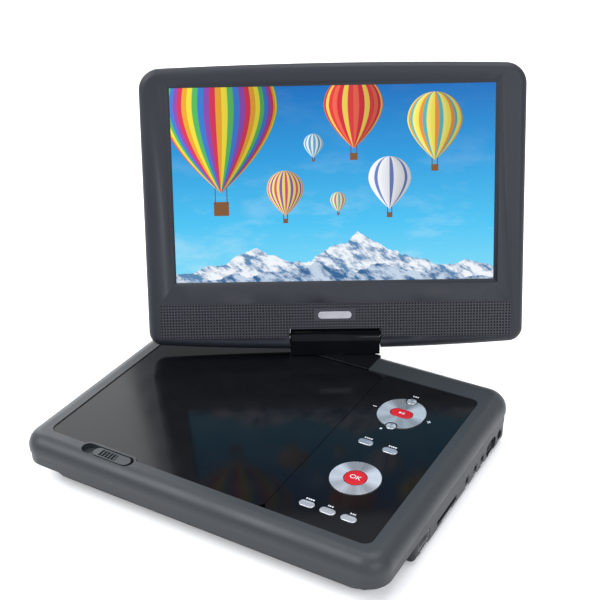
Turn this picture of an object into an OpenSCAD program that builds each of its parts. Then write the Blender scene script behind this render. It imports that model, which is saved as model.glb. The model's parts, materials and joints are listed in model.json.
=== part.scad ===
/* [Base] */
// Width of the base, left to right
base_w = 234; // [200:1:285]
// Depth of the base, front to back
base_d = 179; // [160:1:215]
// Height of the gloss panel above the table
panel_z = 30; // [29:0.5:37]
// Height of the bare rim above the gloss panel
rim_rise = 0.6; // [0.3:0.1:0.8]
// Corner radius of the base, seen from above
base_corner = 14; // [11:0.5:20]
// Radius of the rolled edge of the rim
rim_roll = 9; // [5:0.5:10]
// Height of the top cover's skirt down to the seam
top_skirt = 10; // [9.5:0.5:12]
// Height of the lower cover's upright band under the seam
lower_band = 6.4; // [4:0.2:8]
// Wall of the plastic covers
cover_wall = 2; // [1.5:0.1:2.5]
// Height of the rubber feet below the lower cover
foot_height = 2; // [1.5:0.5:4]
// Radius of a rubber foot
foot_r = 5; // [4:0.5:7]

/* [Top panel] */
// Border between the base's side and the gloss panel
side_border = 13.5; // [11:0.5:18]
// Border between the base's front and the gloss panel
front_border = 13.5; // [11:0.5:18]
// Border between the base's back and the gloss panel
rear_border = 21.5; // [18:0.5:28]
// Width of the control panel, right of the disc lid
control_w = 62.8; // [60:0.2:72]
// Thickness of the disc lid and of the control panel
panel_t = 2.4; // [2:0.1:3]
// Gap round the disc lid and the control panel
panel_gap = 0.3; // [0.2:0.05:0.5]
// Corner radius of the gloss panel
panel_corner = 5; // [3:0.5:8]
// Radius of the disc that the player takes
disc_r = 60; // [60:1:64]
// Room round the disc in its well
disc_room = 2.4; // [1.5:0.1:3]
// Radius of the disc's centre hole
disc_hole_r = 7.5; // [7:0.1:8]

/* [Controls] */
// How far a resting button stands above the gloss panel
button_proud = 0.5; // [0.3:0.1:0.8]
// Travel of a button
button_travel = 0.6; // [0.4:0.1:0.8]
// Gap round a button in the control panel
button_gap = 0.25; // [0.2:0.05:0.4]
// Width of the volume pad
volume_w = 28; // [24:0.5:29]
// Length of the volume pad
volume_l = 31; // [30:0.5:36]
// Radius of the round mute and stop buttons
round_r = 3; // [2.5:0.1:3.5]
// Radius of the direction ring
ring_r = 14.2; // [12:0.2:15]
// Radius of the button inside the direction ring
ok_r = 6.2; // [5:0.1:7]
// Length of a pill-shaped button
pill_l = 9; // [7:0.5:10]
// Width of a pill-shaped button
pill_w = 4.8; // [4:0.1:6]
// Travel of the power switch
switch_travel = 3; // [2:0.5:4]
// Length of the lid latch's thumb piece
latch_l = 25; // [20:1:28]
// Width of the lid latch's thumb piece
latch_w = 7; // [6:0.2:8]
// Travel of the lid latch
latch_travel = 4; // [3:0.5:5]

/* [Ports] */
// Height of the sockets' centre line above the table
port_z = 9.2; // [9:0.1:9.6]
// Front end of the upright port wall, from the base's centre
port_wall_front = -48.5; // [-56:0.5:-46]
// Radius of a 3.5 mm jack's hole
jack_r = 1.8; // [1.75:0.05:1.9]
// Radius of the power inlet's hole
inlet_r = 2.9; // [2.7:0.1:3]

/* [Screen] */
// Width of the screen housing
screen_w = 236; // [205:1:285]
// Height of the screen housing at its middle
screen_h = 177.6; // [170:0.2:215]
// Thickness of the screen housing
screen_t = 17; // [16:0.5:20]
// How much lower the bottom edge is at its middle than at its corners
bottom_crown = 3.4; // [2:0.2:4]
// How much higher the top edge is at its middle than at its corners
top_crown = 1.6; // [0.5:0.1:3]
// Radius of the screen housing's long rounded edges
edge_r = 5; // [4:0.5:6]
// Width of the picture
picture_w = 198; // [165:1:205]
// Height of the picture
picture_h = 120; // [98:1:126]
// Height of the picture's lower edge above the tilt axis
picture_z = 37.4; // [34:0.2:42]
// Width of the bevel round the picture
picture_bevel = 2.4; // [1.5:0.1:3.5]

/* [Hinge] */
// Turn of the screen away from straight, as it stands
swivel_turn = 29.5; // [0:0.5:60]
// Lean of the screen back from upright, as it stands
tilt_back = 18; // [0:1:30]
// Height of the tilt axis above the gloss panel
tilt_rise = 10.4; // [10.2:0.1:14]
// Width of the hinge block
block_w = 56.6; // [44:0.2:64]
// Half the depth of the hinge block
block_r = 6.6; // [6:0.1:6.8]
// Gap between the hinge block and the screen
block_gap = 0.5; // [0.4:0.1:0.9]
// Radius of the steel tilt shaft
shaft_r = 2.5; // [2:0.1:2.8]
// Radius of the swivel tube
tube_r = 5; // [4.5:0.1:5.2]
// Radial clearance of a shaft in its bearing
running = 0.05; // [0.02:0.01:0.08]

/* [Hidden] */

$fn = 48;
tiny = 0.01;
rim_z = panel_z + rim_rise;
seam_z = panel_z - top_skirt;
tub_top = seam_z - lower_band;
floor_z = foot_height + cover_wall;

// Plan of the base
base_x = base_w / 2;
base_front = -base_d / 2;
base_back = base_d / 2;
lower_inset = 0.6;
tub_top_inset = 4;
tub_bottom_inset = 10;
panel_x = base_x - side_border;
panel_front = base_front + front_border;
panel_back = base_back - rear_border;
split_x = panel_x - control_w;
lid_x = (split_x - panel_x) / 2;
panel_mid_y = (panel_front + panel_back) / 2;

// Layers under the gloss panel
panel_under = panel_z - panel_t;
tray_t = 1.8;
tray_z = panel_under - 0.4 - tray_t;
deck_t = 2;
deck_z = tray_z - 0.2 - deck_t;
well_r = disc_r + disc_room;
well_wall = 1.6;
well_floor_t = 1.5;
well_z = deck_z - 3.7;
chassis_t = 1.5;
chassis_z = well_z - 7.5;

// Drive, centred under the disc lid
hub_x = lid_x;
hub_y = panel_mid_y;
seat_z = well_z + 4.7;
hub_seat_r = disc_hole_r - 0.05;
lens_near = 24;
lens_travel = 34;
sled_half_w = 17;
sled_half_l = 9;
sled_z = chassis_z + chassis_t + 1.1;
sled_t = 3.8;
rod_r = 1.5;
rod_x = 14;
rod_z = sled_z + 1.7;
motor_r = 10.5;
rack_w = 2.4;
rack_x = hub_x - sled_half_w - rack_w / 2;
idler_r = 4;
idler_big_r = 6.8;
pinion_r = 2.5;
tooth_gap = 0.1;
idler_x = rack_x - rack_w / 2 - idler_r - 0.15;
idler_y = hub_y - 16;
pinion_y = idler_y - idler_big_r - pinion_r - tooth_gap;

// Controls, from the control panel's own middle line
control_x = split_x + control_w / 2;
volume_pos = [control_x - 3.8, panel_mid_y + 38.8];
round_reach = volume_l / 2 - 1.5;
setup_pos = [control_x - 9.6, panel_mid_y + 4.2];
menu_pos = [control_x + 6, panel_mid_y + 3.2];
ring_pos = [control_x + 0.4, panel_mid_y - 27.4];
pill_row_y = panel_mid_y - 58.4;
pill_pitch = 12.3;
stem_z = deck_z + 0.3;
key_z = deck_z - 2.6;
key_t = 1.6;
play_w = 7.8;
play_l = 13.6;

// Latch in the front rim
latch_x = lid_x - 27.5;
latch_y = panel_front - 3;
latch_lip = 1.4;
latch_floor = 3.4;

// Ports, from front to back along the right side
wall_x = base_x - lower_inset;
port_t = 2;
usb_y = -37.6;
card_y = -7.6;
jack_ys = [20.5, 33, 43.5];
switch_y = 57;
knob_l = 8;
knob_w = 4.2;
inlet_y = 70.5;
port_wall_back = base_back - base_corner + 3.6;
board_z = floor_z + 1;
board_t = 1.4;
board_top = board_z + board_t;

// Hinge and screen
swivel_y = panel_back + 11;
tilt_z = panel_z + tilt_rise;
front_face = -(screen_t / 2 + 0.5);
back_face = screen_t / 2 - 0.5;
platform_w = 59;
platform_top = rim_z;
plate_t = 0.5;
block_bottom = platform_top + plate_t - tilt_z;
notch_half = block_w / 2 + 1;
bottom_edge = -block_r;
top_edge = screen_h - block_r;
split_y = front_face + 4.6;
screen_wall = 1.8;
bottom_corner = 9;
top_corner = 13;
grille_z = 1.6;
grille_h = 22;
grille_t = 1;
grille_half = screen_w / 2 - 8;
speaker_x = 79;
speaker_w = 19;
cap_wall = 1.6;
block_top_gap = block_r + block_gap;
core_y = block_r - cap_wall - 1.4;
core_top = core_y - 0.2;

// Flat shapes
module rounded(w, d, r) {
    square([w - 2 * r, d], center = true);
    square([w, d - 2 * r], center = true);
    for (x = [-1, 1], y = [-1, 1])
        translate([x * (w / 2 - r), y * (d / 2 - r)]) circle(r);
}

module pill(l, w) {
    square([l - w, w], center = true);
    for (x = [-1, 1]) translate([x * (l - w) / 2, 0]) circle(w / 2);
}

module slab(z0, z1) {
    translate([0, 0, z0]) linear_extrude(z1 - z0) children();
}

module round_post(x, y, r, z0, z1) {
    translate([x, y, z0]) cylinder(r = r, h = z1 - z0);
}

module block3(x0, x1, y0, y1, z0, z1) {
    translate([x0, y0, z0]) cube([x1 - x0, y1 - y0, z1 - z0]);
}

// A rounded plan moved to the gloss panel's place
module panel_area(x0, x1, r, grow = 0) {
    translate([(x0 + x1) / 2, panel_mid_y])
        rounded(x1 - x0 + 2 * grow, panel_back - panel_front + 2 * grow, r);
}

// Places of the screws that join the covers
module at_screws() {
    for (x = [-panel_x + 6.5, split_x, panel_x - 6.5], y = [panel_front + 20, panel_back - 14])
        translate([x, y]) children();
}

screw_r = 1.3;
screw_head_r = 2.6;
boss_split = deck_z - 7;

// Base covers
module base_top_cover() {
    color("#4d5660") difference() {
        union() {
            difference() {
                rolled_rim();
                slab(seam_z - 1, rim_z - rim_roll + 2) rim_channel(cover_wall);
                slab(seam_z, panel_z - 2.6) rim_channel(cover_wall + 2.5);
            }
            slab(seam_z + 1, rim_z) latch_outline(latch_lip + 1);
        }
        slab(deck_z + deck_t, rim_z + 1) difference() {
            panel_area(-panel_x, panel_x, panel_corner, panel_gap);
            latch_outline(latch_lip);
        }
        slab(seam_z - 1, deck_z)
            panel_area(-panel_x, panel_x, panel_corner, panel_gap);
        translate([0, 0, rim_z - latch_floor]) linear_extrude(latch_floor + 1) latch_outline(0);
        latch_slot();
        round_post(hub_x, hub_y, well_r + well_wall + 0.6, deck_z - 1, deck_z + deck_t + 1);
        block3(split_x + 12, panel_x - 12, panel_front + 8, panel_back - 12,
            deck_z - 1, deck_z + deck_t + 1);
        block3(-platform_w / 2 - 0.1, platform_w / 2 + 0.1, panel_back - 1, base_back - 2.5,
            rim_z - 5, rim_z + 1);
        round_post(0, swivel_y, tube_r + 0.6, seam_z, rim_z);
        for (x = lid_arm_xs()) arm_pocket(x);
    }
    color("#4d5660") at_screws() difference() {
        slab(boss_split + 0.1, deck_z + tiny) circle(3);
        slab(boss_split, deck_z - 0.5) circle(screw_r + 0.02);
    }
}

// Hollow of the rim, between its outer wall and the wall round the gloss panel
module rim_channel(wall) {
    difference() {
        rounded(base_w - 2 * wall, base_d - 2 * wall, base_corner - wall);
        panel_area(-panel_x, panel_x, panel_corner + 2, cover_wall + panel_gap);
    }
}

module rolled_rim() {
    corner = base_corner - rim_roll;
    hull() {
        slab(seam_z, seam_z + 1) rounded(base_w, base_d, base_corner);
        for (x = [-1, 1], y = [-1, 1])
            translate([x * (base_x - base_corner), y * (base_back - base_corner), rim_z - rim_roll])
                rotate_extrude($fn = 32) translate([corner, 0]) intersection() {
                    circle(rim_roll);
                    square(rim_roll);
                }
    }
}

module latch_outline(grow) {
    translate([latch_x, latch_y])
        pill(latch_l + 2 * latch_travel + 2 + 2 * grow, latch_w + 1.2 + 2 * grow);
}

module latch_slot() {
    slab(deck_z - 3, rim_z) translate([latch_x, latch_y]) square([16, 3.4], center = true);
    block3(latch_x - 10, latch_x + 10, latch_y - 1.8, panel_front + 5,
        deck_z + deck_t - 0.01, rim_z - latch_floor - 0.6);
}

module base_bottom_cover() {
    low_w = base_w - 2 * lower_inset;
    low_d = base_d - 2 * lower_inset;
    low_r = base_corner - lower_inset;
    color("#39424a") difference() {
        union() {
            slab(tub_top, seam_z - 0.1) rounded(low_w, low_d, low_r);
            tub(0);
            block3(base_x - 30, wall_x, port_wall_front, port_wall_back,
                foot_height + 0.6, tub_top + 1);
        }
        slab(tub_top - tiny, seam_z + 1)
            rounded(low_w - 2 * cover_wall, low_d - 2 * cover_wall, low_r - cover_wall);
        tub(cover_wall);
        block3(base_x - 32, wall_x - cover_wall - 1, port_wall_front + cover_wall,
            port_wall_back - cover_wall, floor_z, tub_top + 2);
        block3(wall_x - cover_wall - 2, wall_x + 1, port_wall_front + 2.5,
            port_wall_back - 2.5, foot_height + 2.4, seam_z - 1.8);
        for (x = [-1, 1], y = [-1, 1])
            translate([x * foot_x(), y * foot_y(), 0]) cylinder(r = foot_r + 0.1, h = foot_height + 0.6);
        block3(battery_x0() - 0.5, battery_x1() + 0.5, battery_y0() - 0.5, battery_y1() + 0.5,
            0, floor_z + 1);
        at_screws() slab(0, floor_z + 1) circle(screw_head_r + 0.3);
    }
    color("#39424a") at_screws() difference() {
        slab(foot_height + 0.4, boss_split) circle(4.2);
        slab(0, boss_split + 1) circle(screw_r + 0.2);
        slab(0, floor_z + 0.4) circle(screw_head_r + 0.3);
    }
    color("#39424a") at_dampers() {
        slab(floor_z - 0.5, chassis_z - 1.2) circle(3.2);
        slab(floor_z, chassis_z + chassis_t + 2) circle(1.4);
    }
    color("#39424a") for (y = [port_wall_front + 14, port_wall_back - 40])
        round_post(split_x + 10, y, 3, floor_z - 0.5, board_z);
}

module tub(inset) {
    hull() {
        slab(tub_top - tiny + 0.2 * sign(inset), tub_top + 0.2 * sign(inset))
            rounded(base_w - 2 * (tub_top_inset + inset), base_d - 2 * (tub_top_inset + inset),
                base_corner - inset, $fn = 32);
        slab(foot_height + inset, foot_height + inset + tiny)
            rounded(base_w - 2 * (tub_bottom_inset + inset), base_d - 2 * (tub_bottom_inset + inset),
                base_corner - inset, $fn = 32);
    }
}

function foot_x() = base_x - tub_bottom_inset - 8;
function foot_y() = base_back - tub_bottom_inset - 8;
function battery_x0() = -base_x + tub_bottom_inset + 9;
function battery_x1() = hub_x - 37;
function battery_y0() = -50;
function battery_y1() = 46;

module rubber_feet() {
    color("#17191c") for (x = [-1, 1], y = [-1, 1])
        translate([x * foot_x(), y * foot_y(), 0]) rotate_extrude()
            polygon([[0, 0], [foot_r - 0.8, 0], [foot_r, 0.8], [foot_r, foot_height + 0.6],
                [0, foot_height + 0.6]]);
}

module base_screws() {
    color("#8f959b") at_screws() difference() {
        union() {
            slab(floor_z - 1.2, floor_z + 0.4) circle(screw_head_r);
            slab(floor_z, deck_z - 1) circle(screw_r);
        }
        slab(floor_z - 2, floor_z - 0.4) square([3.4, 0.7], center = true);
        slab(floor_z - 2, floor_z - 0.4) square([0.7, 3.4], center = true);
    }
}

module battery_pack() {
    color("#2b5d8c") slab(floor_z + 0.4, chassis_z + 4)
        translate([(battery_x0() + battery_x1()) / 2, (battery_y0() + battery_y1()) / 2])
            rounded(battery_x1() - battery_x0() - 2, battery_y1() - battery_y0() - 4, 3);
}

module battery_door() {
    mid_x = (battery_x0() + battery_x1()) / 2;
    mid_y = (battery_y0() + battery_y1()) / 2;
    w = battery_x1() - battery_x0() + 0.4;
    d = battery_y1() - battery_y0() + 0.4;
    color("#39424a") difference() {
        slab(foot_height, foot_height + cover_wall - 0.2) translate([mid_x, mid_y])
            rounded(w, d, 1.2);
        for (i = [-2:2]) slab(foot_height - 1, foot_height + 0.5)
            translate([mid_x, battery_y0() + 12 + i * 2.4]) square([14, 1], center = true);
    }
}

module port_panel() {
    color("#3b444c") difference() {
        block3(wall_x - port_t, wall_x, port_wall_front + 2.6, port_wall_back - 2.6,
            foot_height + 2.5, seam_z - 1.9);
        for (y = jack_ys) side_bore(y, port_z, 3.1);
        side_bore(inlet_y, port_z, 4);
        side_slot(usb_y, port_z + 0.6, 14.4, 6.6);
        side_slot(card_y, port_z - 1, 25.8, 2.8);
        side_pill(switch_y, port_z, knob_l + switch_travel + 1, knob_w + 0.6, 20);
        translate([wall_x, switch_y, port_z]) rotate([0, 90, 0])
            rotate([0, 0, 90]) translate([0, 0, -1]) linear_extrude(2) pill(15, 8.6);
    }
}

module side_bore(y, z, r, depth = 20) {
    translate([wall_x - depth / 2, y, z]) rotate([0, 90, 0]) cylinder(r = r, h = depth);
}

module side_slot(y, z, w, h) {
    translate([wall_x, y, z]) cube([20, w, h], center = true);
}

module side_pill(y, z, l, w, depth) {
    translate([wall_x - depth / 2, y, z]) rotate([0, 90, 0]) rotate([0, 0, 90])
        linear_extrude(depth) pill(l, w);
}

// Sockets on the main board, each drawn with its mouth at the port wall
module main_board() {
    color("#1f5a3c") difference() {
        block3(split_x + 4, wall_x - 3.4, port_wall_front + 3.5, port_wall_back - 4,
            board_z, board_top);
        at_screws() slab(0, 40) circle(4.8);
    }
    color("#22252a") for (i = [0:2])
        block3(split_x + 14, split_x + 26 - i * 2, -30 + 26 * i, -18 + 24 * i, board_top, board_top + 1.4);
    color("#6d7278") for (i = [0:4])
        round_post(split_x + 40, -36 + 14 * i, 2.5, board_top, board_top + 5);
}

module audio_jacks() {
    color("#16181b") for (y = jack_ys) difference() {
        union() {
            block3(wall_x - 13.5, wall_x - port_t - 0.2, y - 3.4, y + 3.4, board_top, port_z + 2.9);
            translate([wall_x - port_t - 1, y, port_z]) rotate([0, 90, 0])
                cylinder(r = 2.9, h = port_t + 0.9);
        }
        translate([wall_x - 12.6, y, port_z]) rotate([0, 90, 0]) cylinder(r = jack_r, h = 20);
    }
}

module dc_jack() {
    color("#16181b") difference() {
        union() {
            block3(wall_x - 13.5, wall_x - port_t - 0.2, inlet_y - 4.4, inlet_y + 4.4,
                board_top, port_z + 4.2);
            translate([wall_x - port_t - 1, inlet_y, port_z]) rotate([0, 90, 0])
                cylinder(r = 3.8, h = port_t + 0.9);
        }
        translate([wall_x - 11, inlet_y, port_z]) rotate([0, 90, 0]) cylinder(r = inlet_r, h = 20);
    }
    color("silver") translate([wall_x - 12, inlet_y, port_z]) rotate([0, 90, 0])
        cylinder(r = 0.9, h = 10.5);
}

module usb_socket() {
    z = port_z + 0.6;
    color("silver") difference() {
        block3(wall_x - 14.5, wall_x - 0.3, usb_y - 7, usb_y + 7, z - 3.1, z + 3.1);
        block3(wall_x - 13.9, wall_x + 1, usb_y - 6.5, usb_y + 6.5, z - 2.55, z + 2.55);
    }
    color("ivory") block3(wall_x - 14.2, wall_x - 2, usb_y - 5.6, usb_y + 5.6, z + 0.3, z + 2.1);
}

module card_socket() {
    z = port_z - 1;
    color("silver") difference() {
        block3(wall_x - 24, wall_x - port_t - 0.2, card_y - 14, card_y + 14, board_top, z + 2);
        block3(wall_x - 22, wall_x + 1, card_y - 12.4, card_y + 12.4, z - 1.2, z + 1.3);
    }
}

module power_switch() {
    color("#2a2d31") translate([wall_x, switch_y - switch_travel / 2, port_z]) {
        translate([-port_t - 2, 0, 0]) rotate([0, 90, 0]) rotate([0, 0, 90])
            linear_extrude(port_t + 1.2) pill(knob_l, knob_w);
        for (i = [-1:1]) translate([-1, 1.8 * i, 0]) cube([1.4, 0.7, 3], center = true);
    }
}

// Gloss panel
module control_panel() {
    color("#16181b") difference() {
        slab(panel_under, panel_z) difference() {
            panel_area(split_x + panel_gap / 2, panel_x, panel_corner - 0.3);
            translate([volume_pos.x, volume_pos.y]) {
                rotate(90) pill(volume_l + 0.7, volume_w + 0.7);
                for (s = [-1, 1]) translate([0, s * round_reach]) circle(round_r + button_gap);
            }
            translate(ring_pos) circle(ring_r + 0.35);
            for (p = [setup_pos, menu_pos]) translate(p) pill(pill_l + 0.5, pill_w + 0.5);
            for (i = [-1:1]) translate([ring_pos.x + i * pill_pitch, pill_row_y])
                pill(pill_l + 0.5, pill_w + 0.5);
        }
    }
    color("#16181b") for (x = [split_x + 3, panel_x - 2.6], y = [panel_front + 3, panel_back - 3])
        round_post(x, y, 1.6, deck_z + deck_t, panel_under + tiny);
}

module key_board() {
    color("#1f5a3c") slab(key_z, key_z + key_t) panel_area(split_x + 7, panel_x - 4, 2, -10);
    color("#c9ccd0") at_keys() slab(key_z + key_t, stem_z - button_travel - 0.3) circle(1.8);
}

module at_keys() {
    for (x = [-9, 0, 9]) translate([volume_pos.x + x, volume_pos.y]) children();
    for (s = [-1, 1]) translate([volume_pos.x, volume_pos.y + s * round_reach]) children();
    for (p = [setup_pos, menu_pos, ring_pos]) translate(p) children();
    for (a = [0:90:270]) translate([ring_pos.x + 10.5 * cos(a), ring_pos.y + 10.5 * sin(a)]) children();
    for (i = [-1:1]) translate([ring_pos.x + i * pill_pitch, pill_row_y]) children();
}

module pill_button(x, y) {
    color("#b9bcc0") translate([x, y]) {
        slab(panel_under - 0.1, panel_z + button_proud) pill(pill_l, pill_w);
        slab(panel_under - 1, panel_under - 0.1) pill(pill_l + 1.6, pill_w + 1.6);
        slab(stem_z, panel_under - 1) circle(1.5);
    }
}

module setup_button() { pill_button(setup_pos.x, setup_pos.y); }
module menu_button() { pill_button(menu_pos.x, menu_pos.y); }
module source_button() { pill_button(ring_pos.x - pill_pitch, pill_row_y); }
module previous_button() { pill_button(ring_pos.x, pill_row_y); }
module next_button() { pill_button(ring_pos.x + pill_pitch, pill_row_y); }

module round_button(s) {
    color("#b9bcc0") translate([volume_pos.x, volume_pos.y + s * round_reach]) {
        slab(panel_under - 0.6, panel_z + button_proud) circle(round_r);
        slab(stem_z, panel_under - 0.6) circle(1.5);
    }
}

module mute_button() { round_button(1); }
module stop_button() { round_button(-1); }

module volume_pad() {
    color("#b9bcc0") translate([volume_pos.x, volume_pos.y]) {
        slab(panel_under - 0.4, panel_z + button_proud) difference() {
            rotate(90) pill(volume_l, volume_w);
            pill(play_l + 0.7, play_w + 0.7);
            for (s = [-1, 1]) translate([0, s * round_reach]) circle(round_r + 0.7);
        }
        for (x = [-9, 9]) translate([x, 0]) slab(stem_z + 0.05, panel_under - 0.4) circle(1.5);
    }
}

module play_button() {
    color("#b3262e") translate([volume_pos.x, volume_pos.y]) {
        slab(panel_under - 0.4, panel_z + button_proud + 0.2) pill(play_l, play_w);
        slab(stem_z, panel_under - 0.4) circle(1.5);
    }
}

module direction_gimbal() {
    color("#8f959b") translate([ring_pos.x, ring_pos.y]) {
        slab(panel_under - 2.2, panel_under - 1.2) difference() {
            circle(9);
            circle(7.4);
        }
    }
}

module direction_ring() {
    color("#b9bcc0") translate([ring_pos.x, ring_pos.y]) {
        slab(panel_under - 0.6, panel_z + button_proud) difference() {
            circle(ring_r);
            circle(ok_r + 0.4);
        }
        for (a = [0:90:270]) rotate(a) translate([10.5, 0])
            slab(stem_z + 0.15, panel_under - 0.6) circle(1.3);
    }
}

module ok_button() {
    color("#b3262e") translate([ring_pos.x, ring_pos.y]) {
        slab(panel_under - 0.6, panel_z + button_proud + 0.2) circle(ok_r);
        slab(stem_z, panel_under - 0.6) circle(1.5);
    }
}

// Disc lid with its two hinge arms
lid_axis_y = panel_back - 2.2;
arm_r = 1.9;
lid_axis_z = panel_under - 0.1 - arm_r;
arm_w = 8;
pin_r = 1;

function lid_arm_xs() = [lid_x - 48, lid_x + 48];

module arm_pocket(x) {
    block3(x - arm_w / 2 - 3.6, x + arm_w / 2 + 3.6, lid_axis_y - 4, panel_back + panel_gap,
        deck_z - 1, panel_z);
}

module disc_lid() {
    color("#16181b") difference() {
        union() {
            slab(panel_under, panel_z) difference() {
                panel_area(-panel_x, split_x - panel_gap / 2, panel_corner + 0.8);
                translate([0, panel_back]) square([2 * base_w, 1.8], center = true);
                latch_outline(latch_lip + 0.3);
            }
            for (x = lid_arm_xs()) {
                lid_pin_line(x, arm_w, arm_r);
                block3(x - arm_w / 2, x + arm_w / 2, lid_axis_y - 3, lid_axis_y,
                    lid_axis_z - arm_r, panel_under + tiny);
            }
            block3(latch_x - 4, latch_x + 4, panel_front + 3.6, panel_front + 5.2,
                deck_z + deck_t + 0.4, panel_under + tiny);
        }
        for (x = lid_arm_xs()) lid_pin_line(x, arm_w + 2, pin_r + running);
    }
}

module lid_pin_line(x, l, r) {
    translate([x - l / 2, lid_axis_y, lid_axis_z]) rotate([0, 90, 0]) cylinder(r = r, h = l);
}

module lid_hinge_pins() {
    color("silver") for (x = lid_arm_xs()) lid_pin_line(x, arm_w + 6, pin_r);
}

module lid_latch() {
    color("#59626c") translate([latch_x + latch_travel - 1, latch_y]) {
        slab(rim_z - latch_floor + 0.2, rim_z - 0.4) pill(latch_l, latch_w);
        for (i = [-2:2]) translate([i * 2.6, 0])
            slab(rim_z - 0.5, rim_z + 0.1) square([1, latch_w - 2], center = true);
        slab(rim_z - latch_floor - 1, rim_z - latch_floor + 0.3) square([6, 2.8], center = true);
    }
    color("#59626c") block3(latch_x - 1, latch_x + latch_travel + 2, latch_y - 1.4,
        panel_front + 3.2, deck_z + deck_t + 0.3, deck_z + deck_t + 1.1);
    color("#59626c") block3(latch_x - 1, latch_x + latch_travel + 2, latch_y - 1.4, latch_y + 1.4,
        deck_z + deck_t + 0.3, rim_z - latch_floor);
}

// Disc tray under the lid
module disc_tray() {
    color("#202327") difference() {
        union() {
            slab(tray_z, tray_z + tray_t) difference() {
                panel_area(-panel_x + 0.3, split_x - 0.3, panel_corner - 0.5, -0.4);
                latch_outline(latch_lip + 1.5);
            }
            round_post(hub_x, hub_y, well_r + well_wall, well_z, tray_z + tiny);
            for (x = lid_arm_xs(), s = [-1, 1])
                translate([x + s * (arm_w / 2 + 1.6), lid_axis_y - 0.9, lid_axis_z])
                    cube([2.6, 3.6, 2 * arm_r], center = true);
        }
        round_post(hub_x, hub_y, well_r, well_z + well_floor_t, panel_z);
        round_post(hub_x, hub_y, 16, well_z - 1, panel_z);
        block3(hub_x - 12, hub_x + 12, hub_y - lens_near - lens_travel - 5, hub_y,
            well_z - 1, well_z + well_floor_t + 1);
        for (x = lid_arm_xs()) {
            block3(x - arm_w / 2 - 0.3, x + arm_w / 2 + 0.3, lid_axis_y - 3.4, panel_back,
                tray_z - 1, panel_z);
            lid_pin_line(x, arm_w + 6.2, pin_r + 0.02);
        }
        block3(latch_x - 6, latch_x + 8, panel_front - 1, panel_front + 5.6,
            tray_z - 1, panel_z);
    }
}

// Disc drive
module at_dampers() {
    for (x = [-30, 30], y = [-66, 16]) translate([hub_x + x, hub_y + y]) children();
}

module drive_chassis() {
    color("#9aa0a6") difference() {
        union() {
            slab(chassis_z, chassis_z + chassis_t) translate([hub_x, hub_y - 24.5])
                rounded(69, 92, 5);
            for (x = [-rod_x, rod_x], y = [-lens_near - lens_travel - 12, -12.5])
                translate([hub_x + x - 2.5, hub_y + y - 1.5, chassis_z + chassis_t])
                    cube([5, 3, rod_z + 2 - chassis_z - chassis_t]);
        }
        round_post(hub_x, hub_y, 6, chassis_z - 1, chassis_z + 5);
        block3(hub_x - 10, hub_x + 10, hub_y - 64, hub_y - 16, chassis_z - 1, chassis_z + 5);
        at_dampers() slab(chassis_z - 1, chassis_z + 5) circle(2.6);
        for (x = [-rod_x, rod_x]) rod_line(x, 0.02);
        round_post(idler_x, idler_y, 1.02, chassis_z - 1, chassis_z + 5);
        round_post(idler_x, pinion_y, 2, chassis_z - 1, chassis_z + 5);
    }
    color("silver") round_post(idler_x, idler_y, 1, chassis_z, sled_z + sled_t + 0.4);
}

module rod_line(x, grow) {
    y0 = hub_y - lens_near - lens_travel - 14;
    y1 = hub_y - 10.8;
    translate([hub_x + x, y1, rod_z]) rotate([90, 0, 0]) cylinder(r = rod_r + grow, h = y1 - y0);
}

module guide_rods() {
    color("silver") for (x = [-rod_x, rod_x]) rod_line(x, 0);
}

module chassis_dampers() {
    color("#202327") at_dampers() rotate_extrude()
        translate([0, chassis_z]) polygon([[1.5, -1.2], [4, -1.2], [4, 0], [2.5, 0],
            [2.5, chassis_t], [4, chassis_t], [4, chassis_t + 1.2], [1.5, chassis_t + 1.2]]);
}

module spindle_motor() {
    color("#b9bcc0") difference() {
        round_post(hub_x, hub_y, motor_r, chassis_z + chassis_t, well_z - 0.8);
        round_post(hub_x, hub_y, 1 + running, chassis_z, well_z);
    }
}

module spindle_hub() {
    color("#202327") translate([hub_x, hub_y]) {
        slab(seat_z - 1.6, seat_z) circle(13);
        slab(seat_z - 0.1, seat_z + 2) circle(hub_seat_r);
        slab(well_z - 0.4, seat_z - 1.5) circle(5);
        slab(chassis_z + 1, well_z) circle(1);
    }
}

module pickup_sled() {
    y = hub_y - lens_near;
    color("#2a2d31") difference() {
        block3(hub_x - sled_half_w, hub_x + sled_half_w, y - sled_half_l, y + sled_half_l,
            sled_z, sled_z + sled_t);
        translate([hub_x - rod_x, y + 20, rod_z]) rotate([90, 0, 0]) cylinder(r = rod_r + running, h = 40);
        block3(hub_x + rod_x - rod_r - 0.1, hub_x + sled_half_w + 1, y - 20, y + 20,
            rod_z - rod_r - 0.1, rod_z + rod_r + 0.1);
        round_post(hub_x, y, 4.4, sled_z + 1.4, sled_z + 10);
    }
}

module pickup_lens() {
    y = hub_y - lens_near;
    color("#7a8fb0") {
        round_post(hub_x, y, 4.2, sled_z + 1.5, sled_z + sled_t + 1.2);
        translate([hub_x, y, sled_z + sled_t + 1.1]) rotate_extrude()
            polygon([[0, 0], [2.4, 0], [2, 0.5], [1.2, 0.85], [0, 1]]);
    }
}

module sled_rack() {
    y = hub_y - lens_near - sled_half_l;
    color("ivory") {
        block3(rack_x - rack_w / 2, rack_x + rack_w / 2, y, y + lens_travel + 21,
            sled_z + 0.5, sled_z + 3.4);
        for (i = [0:26])
            block3(rack_x - rack_w / 2 - 0.1, rack_x - rack_w / 2 + 0.1, y + 1 + 2 * i, y + 1.8 + 2 * i,
                sled_z + 0.5, sled_z + 3.4);
    }
}

module toothed(r, teeth, h) {
    linear_extrude(h) {
        circle(r - 0.7);
        for (i = [0:teeth - 1]) rotate(i * 360 / teeth)
            translate([r - 1, -0.35]) square([1 - 0.02, 0.7]);
    }
}

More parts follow.
